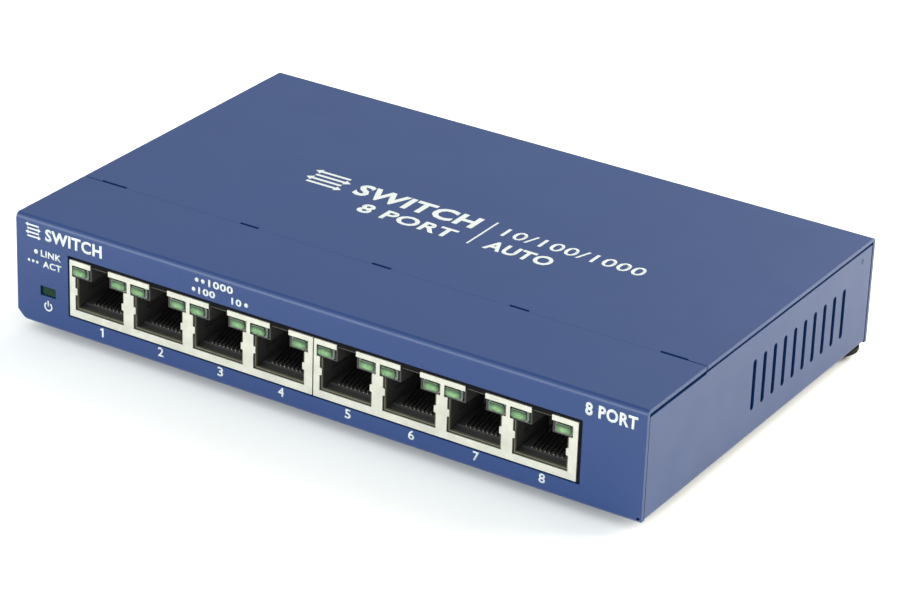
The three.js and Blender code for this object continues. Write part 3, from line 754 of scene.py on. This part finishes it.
class Print:
    """One body's printed marks on one face, gathered in the face's own u, v millimetres."""

    def __init__(self, name, plane, level):
        self.name = name
        self.plane = plane
        self.level = level
        self.bm = bmesh.new()

    def text(self, words, u, v, height, width, weight=0.045, centred=False):
        """Words with capitals of the given height, fitted to a width, their middle line at v."""
        curve = bpy.data.curves.new("words", "FONT")
        curve.body = words
        curve.size = height / CAPITALS
        curve.offset = weight * height
        curve.extrude = INK_THICKNESS / 2
        curve.resolution_u = 3
        curve.space_character = 1.08
        obj = stand("words", curve)
        mesh = evaluated(obj)
        across, up = [[vertex.co[k] for vertex in mesh.vertices] for k in (0, 1)]
        left, right = min(across), max(across)
        start = u - width / 2 if centred else u
        mesh.transform(Matrix.Translation((-left, -(min(up) + max(up)) / 2, 0)))
        mesh.transform(Matrix.Diagonal((width / (right - left), 1, 1, 1)))
        mesh.transform(Matrix.Translation((start, v, INK_THICKNESS / 2 + INK_LIFT)))
        self.bm.from_mesh(mesh)
        bpy.data.objects.remove(obj)
        bpy.data.curves.remove(curve)
        bpy.data.meshes.remove(mesh)

    def one(self, u, v, height):
        """Figure 1 with a flag."""
        points = ((0.15, -0.5), (0.15, 0.5), (-0.02, 0.5), (-0.30, 0.34), (-0.22, 0.18), (-0.06, 0.28),
                  (-0.06, -0.5))
        self.shape([(u + a * height, v + b * height) for a, b in points])

    def shape(self, outline):
        prism(self.bm, outline, "z", INK_LIFT, INK_LIFT + INK_THICKNESS)

    def bar(self, u0, u1, v0, v1):
        self.shape(rectangle(u0, u1, v0, v1))

    def arrow(self, u, v, length, thickness, way):
        """Arrow from u, pointing along way (1 right, -1 left)."""
        head, half = thickness * 1.35, thickness / 2
        tip, neck = u + way * length, u + way * (length - head * 1.5)
        self.shape([(u, v - half), (neck, v - half), (neck, v - head), (tip, v), (neck, v + head),
                    (neck, v + half), (u, v + half)])

    def crossing_arrows(self, u, v, width, height):
        """Generic symbol for a switch: arrows to the left and to the right in turn, four in all."""
        step = height / 3
        for i in range(4):
            way = 1 if i % 2 else -1
            start = u - way * width / 2 + way * 0.12 * width
            self.arrow(start, v + (1.5 - i) * step, width * 0.88, step * 0.42, way)

    def disc(self, u, v, radius=0.5):
        self.shape(circle(u, v, radius, 24))

    def ring_arc(self, u, v, radius, thickness, start, end):
        outer = arc(u, v, radius + thickness / 2, start, end, 24)
        inner = arc(u, v, radius - thickness / 2, end, start, 24)
        self.shape(outer + inner)

    def finish(self, body="case"):
        bmesh.ops.remove_doubles(self.bm, verts=self.bm.verts, dist=1e-5)
        bmesh.ops.transform(self.bm, matrix=self.plane, verts=self.bm.verts)
        bmesh.ops.translate(self.bm, vec=self.level, verts=self.bm.verts)
        finish(raw(self.name, self.bm), INK, body=body)


def front_print():
    """Symbol and name at the left, lamp key under it, speeds in the middle, port numbers at the ports."""
    ink = Print("print_front", PLANES["front"], (0, FRONT, 0))
    name_row, link_row, act_row, power_row = FLOOR + 22.4, FLOOR + 17.7, FLOOR + 15.2, FLOOR + 5.2
    fast_row, slow_row = FLOOR + 23.2, FLOOR + 20.8
    ink.crossing_arrows(-74.3, name_row, 4.2, 2.7)
    ink.text("SWITCH", -71.0, name_row, 2.7, 15.4, 0.05)
    ink.disc(-73.6, link_row, 0.55)
    ink.text("LINK", -72.3, link_row, 1.5, 5.6)
    for i in range(3):
        ink.disc(-75.6 + i * 1.15, act_row, 0.36)
    ink.text("ACT", -71.8, act_row, 1.5, 5.1)
    ink.ring_arc(-70.5, power_row, 0.95, 0.34, 125, 415)
    ink.bar(-70.67, -70.33, power_row, power_row + 1.45)
    for x in (-30.4, -28.8):
        ink.disc(x, fast_row)
    ink.text("1000", -27.4, fast_row, 1.6, 6.4)
    ink.disc(-31.2, slow_row)
    ink.text("100", -30.0, slow_row, 1.5, 4.4)
    ink.text("10", -21.4, slow_row, 1.5, 2.6)
    ink.disc(-17.6, slow_row)
    ink.text("8 PORT", 64.9, FLOOR + 22.2, 2.7, 12.0, 0.05)
    v, height = FLOOR + DIGITS["rise"], DIGITS["height"]
    for number, x in enumerate(port_xs("left") + port_xs("right"), 1):
        u = x + DIGITS["shift"]
        if number == 1:
            ink.one(u, v, height)
        else:
            ink.text(str(number), u, v, height, DIGITS["width"], 0.022, centred=True)
    ink.finish()


def top_print():
    """Symbol and name on the left of the cover, a rule, and the speeds to its right."""
    ink = Print("print_top", PLANES["top"], (0, 0, TOP))
    ink.crossing_arrows(-34.0, 3.6, 10.6, 5.8)
    ink.text("SWITCH", -26.2, 3.6, 5.4, 31.6, 0.05)
    ink.text("8 PORT", -20.4, -4.2, 4.3, 24.6, 0.04)
    ink.bar(8.4, 8.85, -6.2, 6.8)
    ink.text("10/100/1000", 12.3, 3.5, 4.0, 35.0, 0.012)
    ink.text("AUTO", 12.3, -3.9, 4.2, 16.4)
    ink.finish("top_cover")


def rear_print():
    """Polarity mark beside the power inlet: a ring and a dot for the sleeve and the pin."""
    ink = Print("print_rear", PLANES["rear"], (0, REAR, 0))
    u, v = -(DC_X - 9.5), DC_Z
    line = 0.13
    ink.ring_arc(u, v, 1.2, 2 * line, 40, 320)
    ink.disc(u, v, 0.42)
    for start, end in ((-3.4, -1.2), (0.3, 3.4), (-4.9, -3.9), (3.9, 4.9)):
        ink.bar(u + start, u + end, v - line, v + line)
    ink.bar(u + 4.4 - line, u + 4.4 + line, v - 0.5, v + 0.5)
    ink.finish("top_cover")


# ---------- screws, spacers and feet ----------

def pan_head(radius, height):
    """Profile of a pan head, from the axis out over its top and down to its seat."""
    knee = height * 0.55
    turns = [math.radians(90 * i / 6) for i in range(7)]
    dome = [(radius * math.sin(a), knee + (height - knee) * math.cos(a)) for a in turns]
    return dome + [(radius * 0.97, 0.05)]


def cover_screw(node):
    x, _, z = middle(node)
    top = box_mm(node)[1].y
    seat = REAR + 0.05
    profile = pan_head(2.9, top - seat) + [(1.5, 0.05), (1.5, -5.4), (1.0, -6.0), (0, -6.0)]
    screw = build(f"{node}_steel", lathe, profile, (x, seat, z), "y", 40)
    cross_cut(screw, (x, z), 1.45, 0.28, "y", top - 0.75, top + 1)
    finish(screw, ZINC, node, 0.05, body=node)


def board_screw(node):
    low, high = box_mm(node)
    x, y, _ = middle(node)
    seat = BOARD_TOP + 0.05
    profile = pan_head(2.7, high.z - seat) + [(1.2, 0.05), (1.2, low.z - seat), (0, low.z - seat)]
    screw = build(f"{node}_steel", lathe, profile, (x, y, seat))
    cross_cut(screw, (x, y), 1.35, 0.26, "z", high.z - 0.8, high.z + 1)
    finish(screw, ZINC, node, 0.05)


def foot(node):
    """Round rubber foot: straight at the top, well rounded below, with a dished face."""
    low, high = box_mm(node)
    x, y, _ = middle(node)
    radius, height = (high.x - low.x) / 2, high.z - low.z
    profile = [(0, 0.2), (0.7, 0.2), (0.95, 0.03), (1.15, 0), (1.5, 0.1), (2.2, 0.45), (3.0, 0.95),
               (radius - 0.2, 1.45), (radius, 1.9), (radius, height), (0, height)]
    pad = build(f"{node}_pad", lathe, profile, (x, y, low.z), "z", 40)
    finish(pad, RUBBER, node, 0.04)


# ---------- port blocks ----------

PORT = {
    "pitch": 15.75, "shift": -0.25, "mouth": 6.55, "mouth_low": 1.7, "band": 7.4, "band_low": 9.55,
    "band_top": 12.25, "latch": 2.4, "latch_top": 13.95, "spring_low": 5.25, "spring_top": 7.0,
    "spring_in": 0.55,
}
SHIELD = {"sheet": 0.3, "leg_rows": (5, 13), "leg_half": 0.7, "leg_end": 0.8, "slit": 0.4}
HOUSING = {"cavity": 6.3, "low": 1.95, "top": 9.35, "depth": 14.2, "lamp_depth": 4.8,
           "latch_depth": 10.0, "notch_shade_bar": 12.72}
POCKET = {"inner": 2.85, "low": 9.65, "high": 12.35}
RIM_WIDTH = {"side": 0.26, "bar": 0.24}
BESIDE_LATCH = 0.06


def port_xs(side):
    """Middle of each port in one block, across the front."""
    block_x = middle(f"jack_shield_{side}")[0] + PORT["shift"]
    return [block_x + (i - (PORTS_PER_BLOCK - 1) / 2) * PORT["pitch"] for i in range(PORTS_PER_BLOCK)]


def window_outline(x, z):
    """Plug mouth with its two spring tabs, the lamp band above it and the latch notch on top."""
    p = PORT
    spring_u = p["mouth"] - p["spring_in"]
    steps = [
        (p["mouth"], p["mouth_low"]), (p["mouth"], p["spring_low"]),
        (spring_u, p["spring_low"] + 0.12), (spring_u, p["spring_top"] - 0.12),
        (p["mouth"], p["spring_top"]), (p["mouth"], p["band_low"]), (p["band"], p["band_low"]),
        (p["band"], p["band_top"]), (p["latch"], p["band_top"]), (p["latch"], p["latch_top"]),
    ]
    right = [(x + u, z + v) for u, v in steps]
    return right + [(x - u, z + v) for u, v in reversed(steps)]


def jack_shield(side, ports):
    """Tin-plated can over four ports, open below, with its windows to the front."""
    node = f"jack_shield_{side}"
    low, high = box_mm(node)
    t = SHIELD["sheet"]
    leg, slit = SHIELD["leg_half"], SHIELD["slit"]
    leg_z = (BOARD_LOW.z - SHIELD["leg_end"], low.z + 0.5)

    def windows(bm):
        for x in ports:
            prism(bm, window_outline(x, low.z), "y", low.y - 1, low.y + t + 0.2)

    def legs(bm):
        """Solder legs through the board."""
        for y in [low.y + place for place in SHIELD["leg_rows"]]:
            box_row(bm, (low.x + t / 2, high.x - t / 2), t / 2, (y - leg, y + leg), leg_z)
        box_row(bm, ports, leg, (high.y - t, high.y), leg_z)

    def slits(bm):
        """Slits that free the grounding fingers in the top and the back."""
        for y in (low.y + 6, low.y + 9):
            box_row(bm, ports, 2.5, (y, y + slit), (high.z - t - 0.5, high.z + 1))
        for shift in (-2.8, 2.8):
            places = [x + shift for x in ports]
            box_row(bm, places, slit / 2, (high.y - 1, high.y + 1), (low.z + 3, low.z + 9))

    shield = build(f"{node}_tin", block, *zip(low, high))
    carve(shield, block, (low.x + t, high.x - t), (low.y + t, high.y - t), (low.z - 1, high.z - t))
    carve(shield, windows)
    carve(shield, slits)
    join(shield, legs)
    finish(shield, TIN, node, 0.07)


def jack_housing(side, ports, base):
    """Black moulding in a shield: a cavity, a latch way, two lamp pockets and two grooves to each port."""
    node = f"jack_housing_{side}"
    low, high = box_mm(node)
    h = HOUSING
    front, mouth_top = low.y - 1, base.z + h["top"]

    def lamp_pockets(bm):
        for x in ports:
            for edge in (-1, 1):
                span = sorted((x + edge * POCKET["inner"], x + edge * PORT["band"]))
                block(bm, span, (front, base.y + h["lamp_depth"]),
                      (base.z + POCKET["low"], base.z + POCKET["high"]))

    walls = [x + way * h["cavity"] for x in ports for way in (-1, 1)]
    back = base.y + h["depth"]
    housing = build(f"{node}_plastic", block, *zip(low, high))
    carve(housing, lamp_pockets)
    carve(housing, box_row, ports, h["cavity"], (front, back), (base.z + h["low"], mouth_top))
    carve(housing, box_row, ports, PORT["latch"], (front, base.y + h["latch_depth"]),
          (mouth_top - 0.5, high.z + 1))
    carve(housing, box_row, walls, 0.25, (low.y + 4, back - 1), (base.z + 5.0, base.z + 7.0))
    finish(housing, PORT_BLACK, node, 0.16)


def port_rims(side, ports, base):
    """Thin moulded rim just inside each window, along its foot and both sides, and a dark olive bar across
    its latch notch that is painted shade for the shaded edge of the shield's top sheet.
    """
    inner = HOUSING["cavity"] - 0.22
    outer = inner + RIM_WIDTH["side"]
    low, high = base.z + HOUSING["low"] + 0.2, base.z + HOUSING["top"] - 0.1
    foot_z, notch_shade_z = low - RIM_WIDTH["side"], base.z + HOUSING["notch_shade_bar"]
    bar = PORT["latch"] - BESIDE_LATCH

    def rims(bm):
        for x in ports:
            outline = [(x - outer, high), (x - outer, foot_z), (x + outer, foot_z), (x + outer, high),
                       (x + inner, high), (x + inner, low), (x - inner, low), (x - inner, high)]
            prism(bm, outline, "y", base.y + 0.42, base.y + 1.1)
        # The dark olive bar across each latch notch is painted shade: it stands for the tin top sheet's edge
        # in shadow.
        box_row(bm, ports, bar, (base.y + 0.5, base.y + 0.9), (notch_shade_z, notch_shade_z + RIM_WIDTH["bar"]))

    finish(build(f"port_rims_{side}", rims), RIM, edge=0.06)


WIRES = {"count": 8, "pitch": 1.02, "radius": 0.17, "front": 3.25, "low": 2.55, "bend": 0.35,
         "reach": 11.4, "high": 4.75}
NOSE_SIZE = 0.13


def contacts(number, x, base):
    """Comb-shaped carrier and eight gilt spring wires that rise from its front edge. The wires are coloured
    nearly black as painted shade, and their noses are paler as a painted highlight.
    """
    node = f"contact_insert_{number}"
    low, high = box_mm(node)
    w = WIRES
    places = [x + (i - (w["count"] - 1) / 2) * w["pitch"] for i in range(w["count"])]
    foot, tip = base.y + w["front"], base.y + w["reach"]
    wire_low, wire_high = base.z + w["low"], base.z + w["high"]

    def combs(bm):
        teeth = [places[0] + (i - 0.5) * w["pitch"] for i in range(w["count"] + 1)]
        box_row(bm, teeth, 0.25, (low.y + 0.5, low.y + 5.0), (low.z + 0.1, base.z + 2.8))
        box_row(bm, teeth, 0.2, (base.y + 11.0, high.y - 0.1), (low.z + 0.1, base.z + 5.4))

    def wires(bm):
        bend = w["bend"]
        for u in places:
            path = [(u, foot + 0.5, base.z + 2.3)]
            for a in [math.radians(200 - 25 * i) for i in range(4)]:
                path.append((u, foot + bend + bend * math.cos(a), wire_low + bend * math.sin(a)))
            path += [(u, foot + 1.2, wire_low + 0.55), (u, tip - 1.2, wire_high - 0.2),
                     (u, tip - 0.3, wire_high), (u, tip + 0.6, wire_high - 0.3),
                     (u, tip + 1.0, wire_high - 1.4)]
            tube(bm, path, w["radius"])

    def noses(bm):
        """Noses of the wires, where a plug first touches them, paler than the wires as a painted highlight.
        """
        r = NOSE_SIZE
        ball = [(0, -r), (0.09, -0.09), (r, 0), (0.09, 0.09), (0, r)]
        for u in places:
            lathe(bm, ball, (u, foot - 0.22, wire_low + 0.12), "z", 10)

    holder = build(f"contact_carrier_{number}", block, (low.x, high.x), (low.y, high.y),
                   (low.z, base.z + 2.62))
    join(holder, combs)
    finish(holder, CARRIER, node, 0.05)
    finish(build(f"contact_wires_{number}", wires), SHADED_GOLD, node)
    finish(build(f"contact_noses_{number}", noses), NOSE_HIGHLIGHT, node)


def window_seal():
    """Black gasket over the blocks and beside them, just behind the front panel, put there as painted shade:
    it darkens the gap between the window's edge and the shields.
    """
    left, low_z = SHIELD_LOW.x - 0.25, SHIELD_LOW.z - 0.2
    inner_x, inner_z = SHIELD_HIGH.x + 0.04, SHIELD_HIGH.z + 0.04
    outer_x, outer_z = SHIELD_HIGH.x + 1.0, SHIELD_HIGH.z + 0.9
    outline = [(left, inner_z), (inner_x, inner_z), (inner_x, low_z), (outer_x, low_z),
               (outer_x, outer_z), (left, outer_z)]
    seal = build("window_seal", prism, outline, "y", FRONT + 0.45, FRONT + 2.6)
    finish(seal, SHADE_SEAL, edge=0.08)
    # The black gasket also hangs over the shields' top edge at each latch notch, as painted shade in the
    # notch.
    notches = port_xs("left") + port_xs("right")
    lips = build("window_shade_seal_lips", box_row, notches, PORT["latch"] - BESIDE_LATCH,
                 (SHIELD_LOW.y + 0.2, SHIELD_LOW.y + 0.44), (SHIELD_HIGH.z - 0.42, SHIELD_HIGH.z + 0.5))
    finish(lips, SHADE_SEAL)


LENS_INSET = {"left": (0.0, 0.5), "right": (0.35, 0.25)}


def port_lamp(number, side):
    """Green lens, and round it the clear edge of its light guide, which shows inward and below."""
    node = f"led_{side}_{number}"
    low, high = box_mm(node)
    left, right = LENS_INSET[side]
    face = rounded(low.x + left, high.x - right, low.z + 0.26, high.z, 0.5)
    lens_piece = build(f"{node}_lens", prism, face, "y", high.y, low.y, 0.96)
    finish(lens_piece, GREEN_LENS, node, 0.26, segments=4)
    edge = rounded(low.x + 0.05, high.x - 0.05, low.z, high.z - 0.05, 0.35, 4)
    finish(build(f"{node}_guide", prism, edge, "y", high.y - 1, low.y + 0.4), CLEAR_LENS, node, 0.08)


def power_lamp():
    low, high = POWER_LOW, POWER_HIGH
    face = rounded(low.x, high.x, *POWER_Z, 0.15, 3)
    tint = build("power_led_lens", prism, face, "y", low.y + 6, low.y + 0.4)
    join(tint, block, (low.x, high.x), (low.y + 2.5, low.y + 6), (low.z, high.z - 1))
    finish(tint, POWER_LENS, "power_led", 0.15, segments=3)


def dc_inlet():
    """Power inlet: a block with a round opening, a notch in each side and a centre pin."""
    low, high = DC_LOW, DC_HIGH
    body = build("dc_jack_body", block, *zip(low, high))
    carve(body, prism, circle(DC_X, DC_Z, 3.15, 40), "y", low.y + 3, high.y + 1)
    for span in ((low.x - 1, low.x + 0.8), (high.x - 0.8, high.x + 1)):
        carve(body, block, span, (low.y + 2, high.y - 4), (low.z + 2, high.z - 2))
    finish(body, BLACK, "dc_jack", 0.3, segments=3)
    profile = [(0, 0), (1.05, 0), (1.05, 8.6), (0.8, 9.3), (0, 9.5)]
    pin = build("dc_jack_pin", lathe, profile, (DC_X, low.y + 2.5, DC_Z), "y", 20)
    finish(pin, NICKEL, "dc_jack")


# ---------- circuit board and what stands on it ----------

TRANSFORMERS = [f"transformer_{i}" for i in range(1, 5)]
BOARD_SCREWS = [f"board_screw_{i}" for i in range(1, 5)]
SMALL_CHIPS = ["memory_chip", "regulator_chip"]
CAPACITORS = ["capacitor_1", "capacitor_2"]
INDUCTORS = ["inductor_1", "inductor_2"]
DRAFT = 0.965
PAD_GAP = 0.03


def lead_rows(bm, ends, sides, count, lead, shoulder, reach=1.3, axis="x"):
    """Gull-wing leads spaced along an axis between two ends, leaving a package at its sides."""
    width, thick = lead
    knee, sole = BOARD_TOP + shoulder, BOARD_TOP + 0.12
    for side, way in zip(sides, (-1, 1)):
        path = [(side - way * 0.3, knee), (side + way * reach * 0.35, knee),
                (side + way * reach * 0.55, sole), (side + way * reach, sole)]
        for i in range(count):
            along = ends[0] + (ends[1] - ends[0]) * (i + 0.5) / count
            strip(bm, path, (along - width / 2, along + width / 2), thick, axis)


def package(node, edge, dimple=True):
    """Chip body with drafted sides and a pin-one dimple."""
    low, high = box_mm(node)
    outline = rectangle(low.x, high.x, low.y, high.y)
    waist = middle(node)[2]
    body = build(f"{node}_body", prism, outline, "z", waist, high.z, DRAFT)
    join(body, prism, outline, "z", waist, low.z + 0.12, DRAFT)
    if dimple:
        mark = circle(low.x + 1.5, high.y - 1.5, 0.45, 20)
        carve(body, prism, mark, "z", high.z - 0.08, high.z + 1)
    finish(body, EPOXY, node, edge)


def chip(node, edge, inset, count, lead, shoulder, reach=1.3, square=False):
    """Package with a row of leads along its front and its rear, or on all four sides."""
    low, high = box_mm(node)
    package(node, edge)

    def leads(bm):
        ends = (low.x + inset, high.x - inset)
        lead_rows(bm, ends, (low.y, high.y), count, lead, shoulder, reach)
        if square:
            ends = (low.y + inset, high.y - inset)
            lead_rows(bm, ends, (low.x, high.x), count, lead, shoulder, reach, "y")

    finish(build(f"{node}_leads", leads), SOLDER)


def regulator():
    """Regulator with three leads to the front and its heat tab to the rear."""
    low, high = box_mm("regulator_chip")
    package("regulator_chip", 0.15, dimple=False)

    def leads(bm):
        lead_rows(bm, (low.x + 0.4, high.x - 0.4), (low.y,), 3, (0.7, 0.25), 0.9, 2.0)
        block(bm, (low.x + 0.7, high.x - 0.7), (high.y - 0.2, high.y + 1.6),
              (BOARD_TOP + PAD_GAP, BOARD_TOP + 0.5))

    finish(build("regulator_chip_leads", leads), SOLDER)


def heatsink(fins=8, thickness=1.0):
    """Finned block with a saw cut across its fins."""
    low, high = box_mm("heatsink")
    half = thickness / 2

    def blades(bm):
        for i in range(fins):
            x = low.x + half + i * (high.x - low.x - thickness) / (fins - 1)
            outline = [(x - half, low.z + 1.6), (x + half, low.z + 1.6), (x + half - 0.12, high.z),
                       (x - half + 0.12, high.z)]
            prism(bm, outline, "y", low.y, high.y)

    y = middle("heatsink")[1]
    sink = build("heatsink_fins", block, (low.x, high.x), (low.y, high.y), (low.z, low.z + 1.8))
    join(sink, blades)
    carve(sink, block, (low.x - 1, high.x + 1), (y - 0.8, y + 0.8), (low.z + 3, high.z + 1))
    finish(sink, ALUMINIUM, "heatsink", 0.1)


def crystal_can():
    low, high = box_mm("crystal")
    wall = rounded(low.x + 0.4, high.x - 0.4, low.y + 0.4, high.y - 0.4, 1.7, 8)
    rim = rounded(low.x, high.x, low.y, high.y, 2.1, 8)
    can = build("crystal_can", prism, wall, "z", low.z + 0.3, high.z)
    join(can, prism, rim, "z", low.z, low.z + 0.5)
    finish(can, NICKEL, "crystal", 0.3, segments=3)


def capacitor(node):
    """Aluminium can in a shrink sleeve, its top scored with a vent cross."""
    low, high = box_mm(node)
    x, y, _ = middle(node)
    r, height = (high.x - low.x) / 2, high.z - low.z
    profile = [(0, 0.1), (r - 0.5, 0.1), (r, 0.5), (r, 1.3), (r - 0.25, 1.6), (r, 1.9),
               (r, height - 0.5), (r - 0.2, height - 0.1), (r - 0.9, height - 0.05),
               (r - 0.9, height - 0.4), (0, height - 0.4)]
    finish(build(f"{node}_sleeve", lathe, profile, (x, y, low.z)), SLEEVE, node, 0.08)
    disc = circle(x, y, r - 0.95, 40)
    lid = build(f"{node}_lid", prism, disc, "z", high.z - 0.38, high.z - 0.1)
    cross_cut(lid, (x, y), 2.4, 0.12, "z", high.z - 0.2, high.z + 1, flare=1.0)
    finish(lid, ALUMINIUM, node, 0.06)


def inductor(node):
    """Ferrite block with a round winding window, on two solder pads."""
    low, high = box_mm(node)
    x, y, _ = middle(node)
    outline = rounded(low.x, high.x, low.y, high.y, 1.9, 8)
    core = build(f"{node}_core", prism, outline, "z", low.z + 0.3, high.z)
    carve(core, prism, circle(x, y, 2.3), "z", high.z - 0.3, high.z + 1)
    finish(core, FERRITE, node, 0.35, segments=3)
    pads = build(f"{node}_pads", box_row, (low.x, high.x), 0.6, (low.y + 2.5, high.y - 2.5),
                 (BOARD_TOP + PAD_GAP, BOARD_TOP + 0.6))
    finish(pads, SOLDER)


CHIP_PARTS = {"count": 120, "margin": 2.4, "flat": 0.50, "tall": 0.80}


def free_spots(count, margin):
    """Random places on the board, on a 1 mm grid, clear of the larger parts and of each other."""
    busy = (["switch_chip", "heatsink", "crystal", "dc_jack", "power_led"] + SMALL_CHIPS + TRANSFORMERS
            + CAPACITORS + INDUCTORS + BOARD_SCREWS + [f"jack_shield_{side}" for side in SIDES])
    taken = [box_mm(node) for node in busy]
    spots = []
    for _ in range(40 * count):
        x = round(random.uniform(BOARD_LOW.x + 4, BOARD_HIGH.x - 4))
        y = round(random.uniform(BOARD_LOW.y + 20, BOARD_HIGH.y - 3))
        clear = all(x < lo.x - margin or x > hi.x + margin or y < lo.y - margin or y > hi.y + margin
                    for lo, hi in taken)
        if clear and all(abs(x - a) > 2.6 or abs(y - b) > 2.0 for a, b in spots):
            spots.append((x, y))
        if len(spots) == count:
            break
    return spots


def small_parts():
    """Chip resistors and capacitors: bodies, and the tinned ends they share."""
    spots = free_spots(CHIP_PARTS["count"], CHIP_PARTS["margin"])
    half = len(spots) // 2
    flat, tall = CHIP_PARTS["flat"], CHIP_PARTS["tall"]

    def bodies(bm, places, height):
        for x, y in places:
            block(bm, (x - 0.55, x + 0.55), (y - 0.42, y + 0.42), (BOARD_TOP + 0.08, BOARD_TOP + height))

    def ends(bm):
        for k, (x, y) in enumerate(spots):
            height = flat if k < half else tall
            for way in (-1, 1):
                span = sorted((x + way * 0.5, x + way * 0.85))
                block(bm, span, (y - 0.45, y + 0.45),
                      (BOARD_TOP + PAD_GAP, BOARD_TOP + height + PAD_GAP))

    finish(build("chip_resistors", bodies, spots[:half], flat), EPOXY, edge=0.04)
    finish(build("chip_capacitors", bodies, spots[half:], tall), CERAMIC, edge=0.06)
    finish(build("chip_ends", ends), SOLDER, edge=0.05)


def board_rings(bm, steps=40):
    """Bare tinned rings round the board screws."""
    low_z, high_z = BOARD_TOP + 0.01, BOARD_TOP + 0.04
    for node in BOARD_SCREWS:
        x, y, _ = middle(node)
        outer, inner = circle(x, y, 3.6, steps), circle(x, y, 1.7, steps)
        section = ((outer, low_z), (outer, high_z), (inner, high_z), (inner, low_z))
        rings = [[bm.verts.new((u, v, z)) for u, v in ring] for ring, z in section]
        for first, second in zip(rings, rings[1:] + rings[:1]):
            for j in range(steps):
                k = (j + 1) % steps
                bm.faces.new((first[j], first[k], second[k], second[j]))


def board_print(margin=1.9, line=0.09):
    """White outlines round the larger parts on the board."""
    ink = Print("print_board", PLANES["top"], (0, 0, BOARD_TOP))
    for node in ["switch_chip", "crystal"] + SMALL_CHIPS + CAPACITORS + INDUCTORS + TRANSFORMERS:
        low, high = box_mm(node)
        x0, x1, y0, y1 = low.x - margin, high.x + margin, low.y - margin, high.y + margin
        for y in (y0, y1):
            ink.bar(x0, x1, y - line, y + line)
        for x in (x0, x1):
            ink.bar(x - line, x + line, y0 + 0.2, y1 - 0.2)
    ink.finish()


def board():
    dress("circuit_board", MASK, 0.08)
    for i, screw in enumerate(BOARD_SCREWS, 1):
        dress(f"board_standoff_{i}", BRASS)
        board_screw(screw)
    finish(build("board_rings", board_rings), SOLDER)
    board_print()
    chip("switch_chip", 0.1, 1, 32, (0.22, 0.12), 0.8, square=True)
    heatsink()
    for node in TRANSFORMERS:
        chip(node, 0.25, 1, 12, (0.5, 0.25), 2.4, 1.5)
    chip("memory_chip", 0.1, 0.3, 4, (0.42, 0.2), 0.9, 1.1)
    regulator()
    crystal_can()
    for can, coil in zip(CAPACITORS, INDUCTORS):
        capacitor(can)
        inductor(coil)
    small_parts()


# ---------- floor, light and camera ----------

CAMERA = {"eye": (362.1, -589.0, 346.8), "azimuth": 31.51, "elevation": 25.98, "roll": 2.08,
          "lens": 139.75, "sensor": 36, "far": 20}
TARGET = (0, 0, 0.02)
COOL = (0.94, 1.0, 0.98)
WARM = (1.0, 0.98, 0.84)
SKY = {"colour": (0.97, 1.0, 1.0, 1), "strength": 0.66}
FLOOR_HALF, FLOOR_THICKNESS = 4000, 20


def camera():
    """Long lens, level with the photographer's height above the table."""
    data = bpy.data.cameras.new("camera")
    data.lens = CAMERA["lens"]
    data.sensor_width = CAMERA["sensor"]
    data.clip_end = CAMERA["far"]
    obj = stand("camera", data)
    az, el = math.radians(CAMERA["azimuth"]), math.radians(CAMERA["elevation"])
    forward = Vector((-math.sin(az) * math.cos(el), math.cos(az) * math.cos(el), -math.sin(el)))
    turn = forward.to_track_quat("-Z", "Y").to_matrix().to_4x4()
    roll = Matrix.Rotation(math.radians(CAMERA["roll"]), 4, "Z")
    obj.matrix_world = Matrix.Translation(Vector(CAMERA["eye"]) * MM) @ turn @ roll
    SCENE.camera = obj


def soft_light(name, place, size, power, colour):
    """Rectangular lamp that faces the switch; place and size in metres."""
    data = bpy.data.lights.new(name, "AREA")
    data.shape = "RECTANGLE"
    data.size, data.size_y = size
    data.energy = power
    data.color = colour
    obj = stand(name, data)
    obj.location = place
    obj.rotation_euler = (Vector(TARGET) - Vector(place)).to_track_quat("-Z", "Y").to_euler()


def studio():
    reach = (-FLOOR_HALF, FLOOR_HALF)
    floor = build("floor", block, reach, reach, (-FLOOR_THICKNESS, 0))
    floor.data.transform(Matrix.Scale(MM, 4))
    floor.data.materials.append(floor_paper())
    world = bpy.data.worlds.new("studio")
    world.use_nodes = True
    background = world.node_tree.nodes["Background"]
    background.inputs["Color"].default_value = SKY["colour"]
    background.inputs["Strength"].default_value = SKY["strength"]
    SCENE.world = world
    soft_light("front", (-0.35, -1.0, 0.9), (2.2, 1.5), 11, COOL)
    soft_light("front_low", (-0.5, -1.1, 0.3), (2.4, 0.5), 19, COOL)
    soft_light("rear_right", (0.55, 0.95, 0.55), (1.6, 0.9), 41, WARM)
    SCENE.view_settings.view_transform = "Standard"


# ---------- the whole switch ----------

camera()
base_tray()
top_cover()
front_print()
top_print()
rear_print()
for side in SIDES:
    cover_screw(f"cover_screw_{side}")
for end in ("front", "rear"):
    for side in SIDES:
        foot(f"foot_{end}_{side}")
for block_index, side in enumerate(SIDES):
    base = box_mm(f"jack_shield_{side}")[0]
    ports = port_xs(side)
    jack_shield(side, ports)
    jack_housing(side, ports, base)
    port_rims(side, ports, base)
    for port_number, port_x in enumerate(ports, block_index * PORTS_PER_BLOCK + 1):
        contacts(port_number, port_x, base)
        for lamp_side in SIDES:
            port_lamp(port_number, lamp_side)
window_seal()
power_lamp()
dc_inlet()
board()
studio()
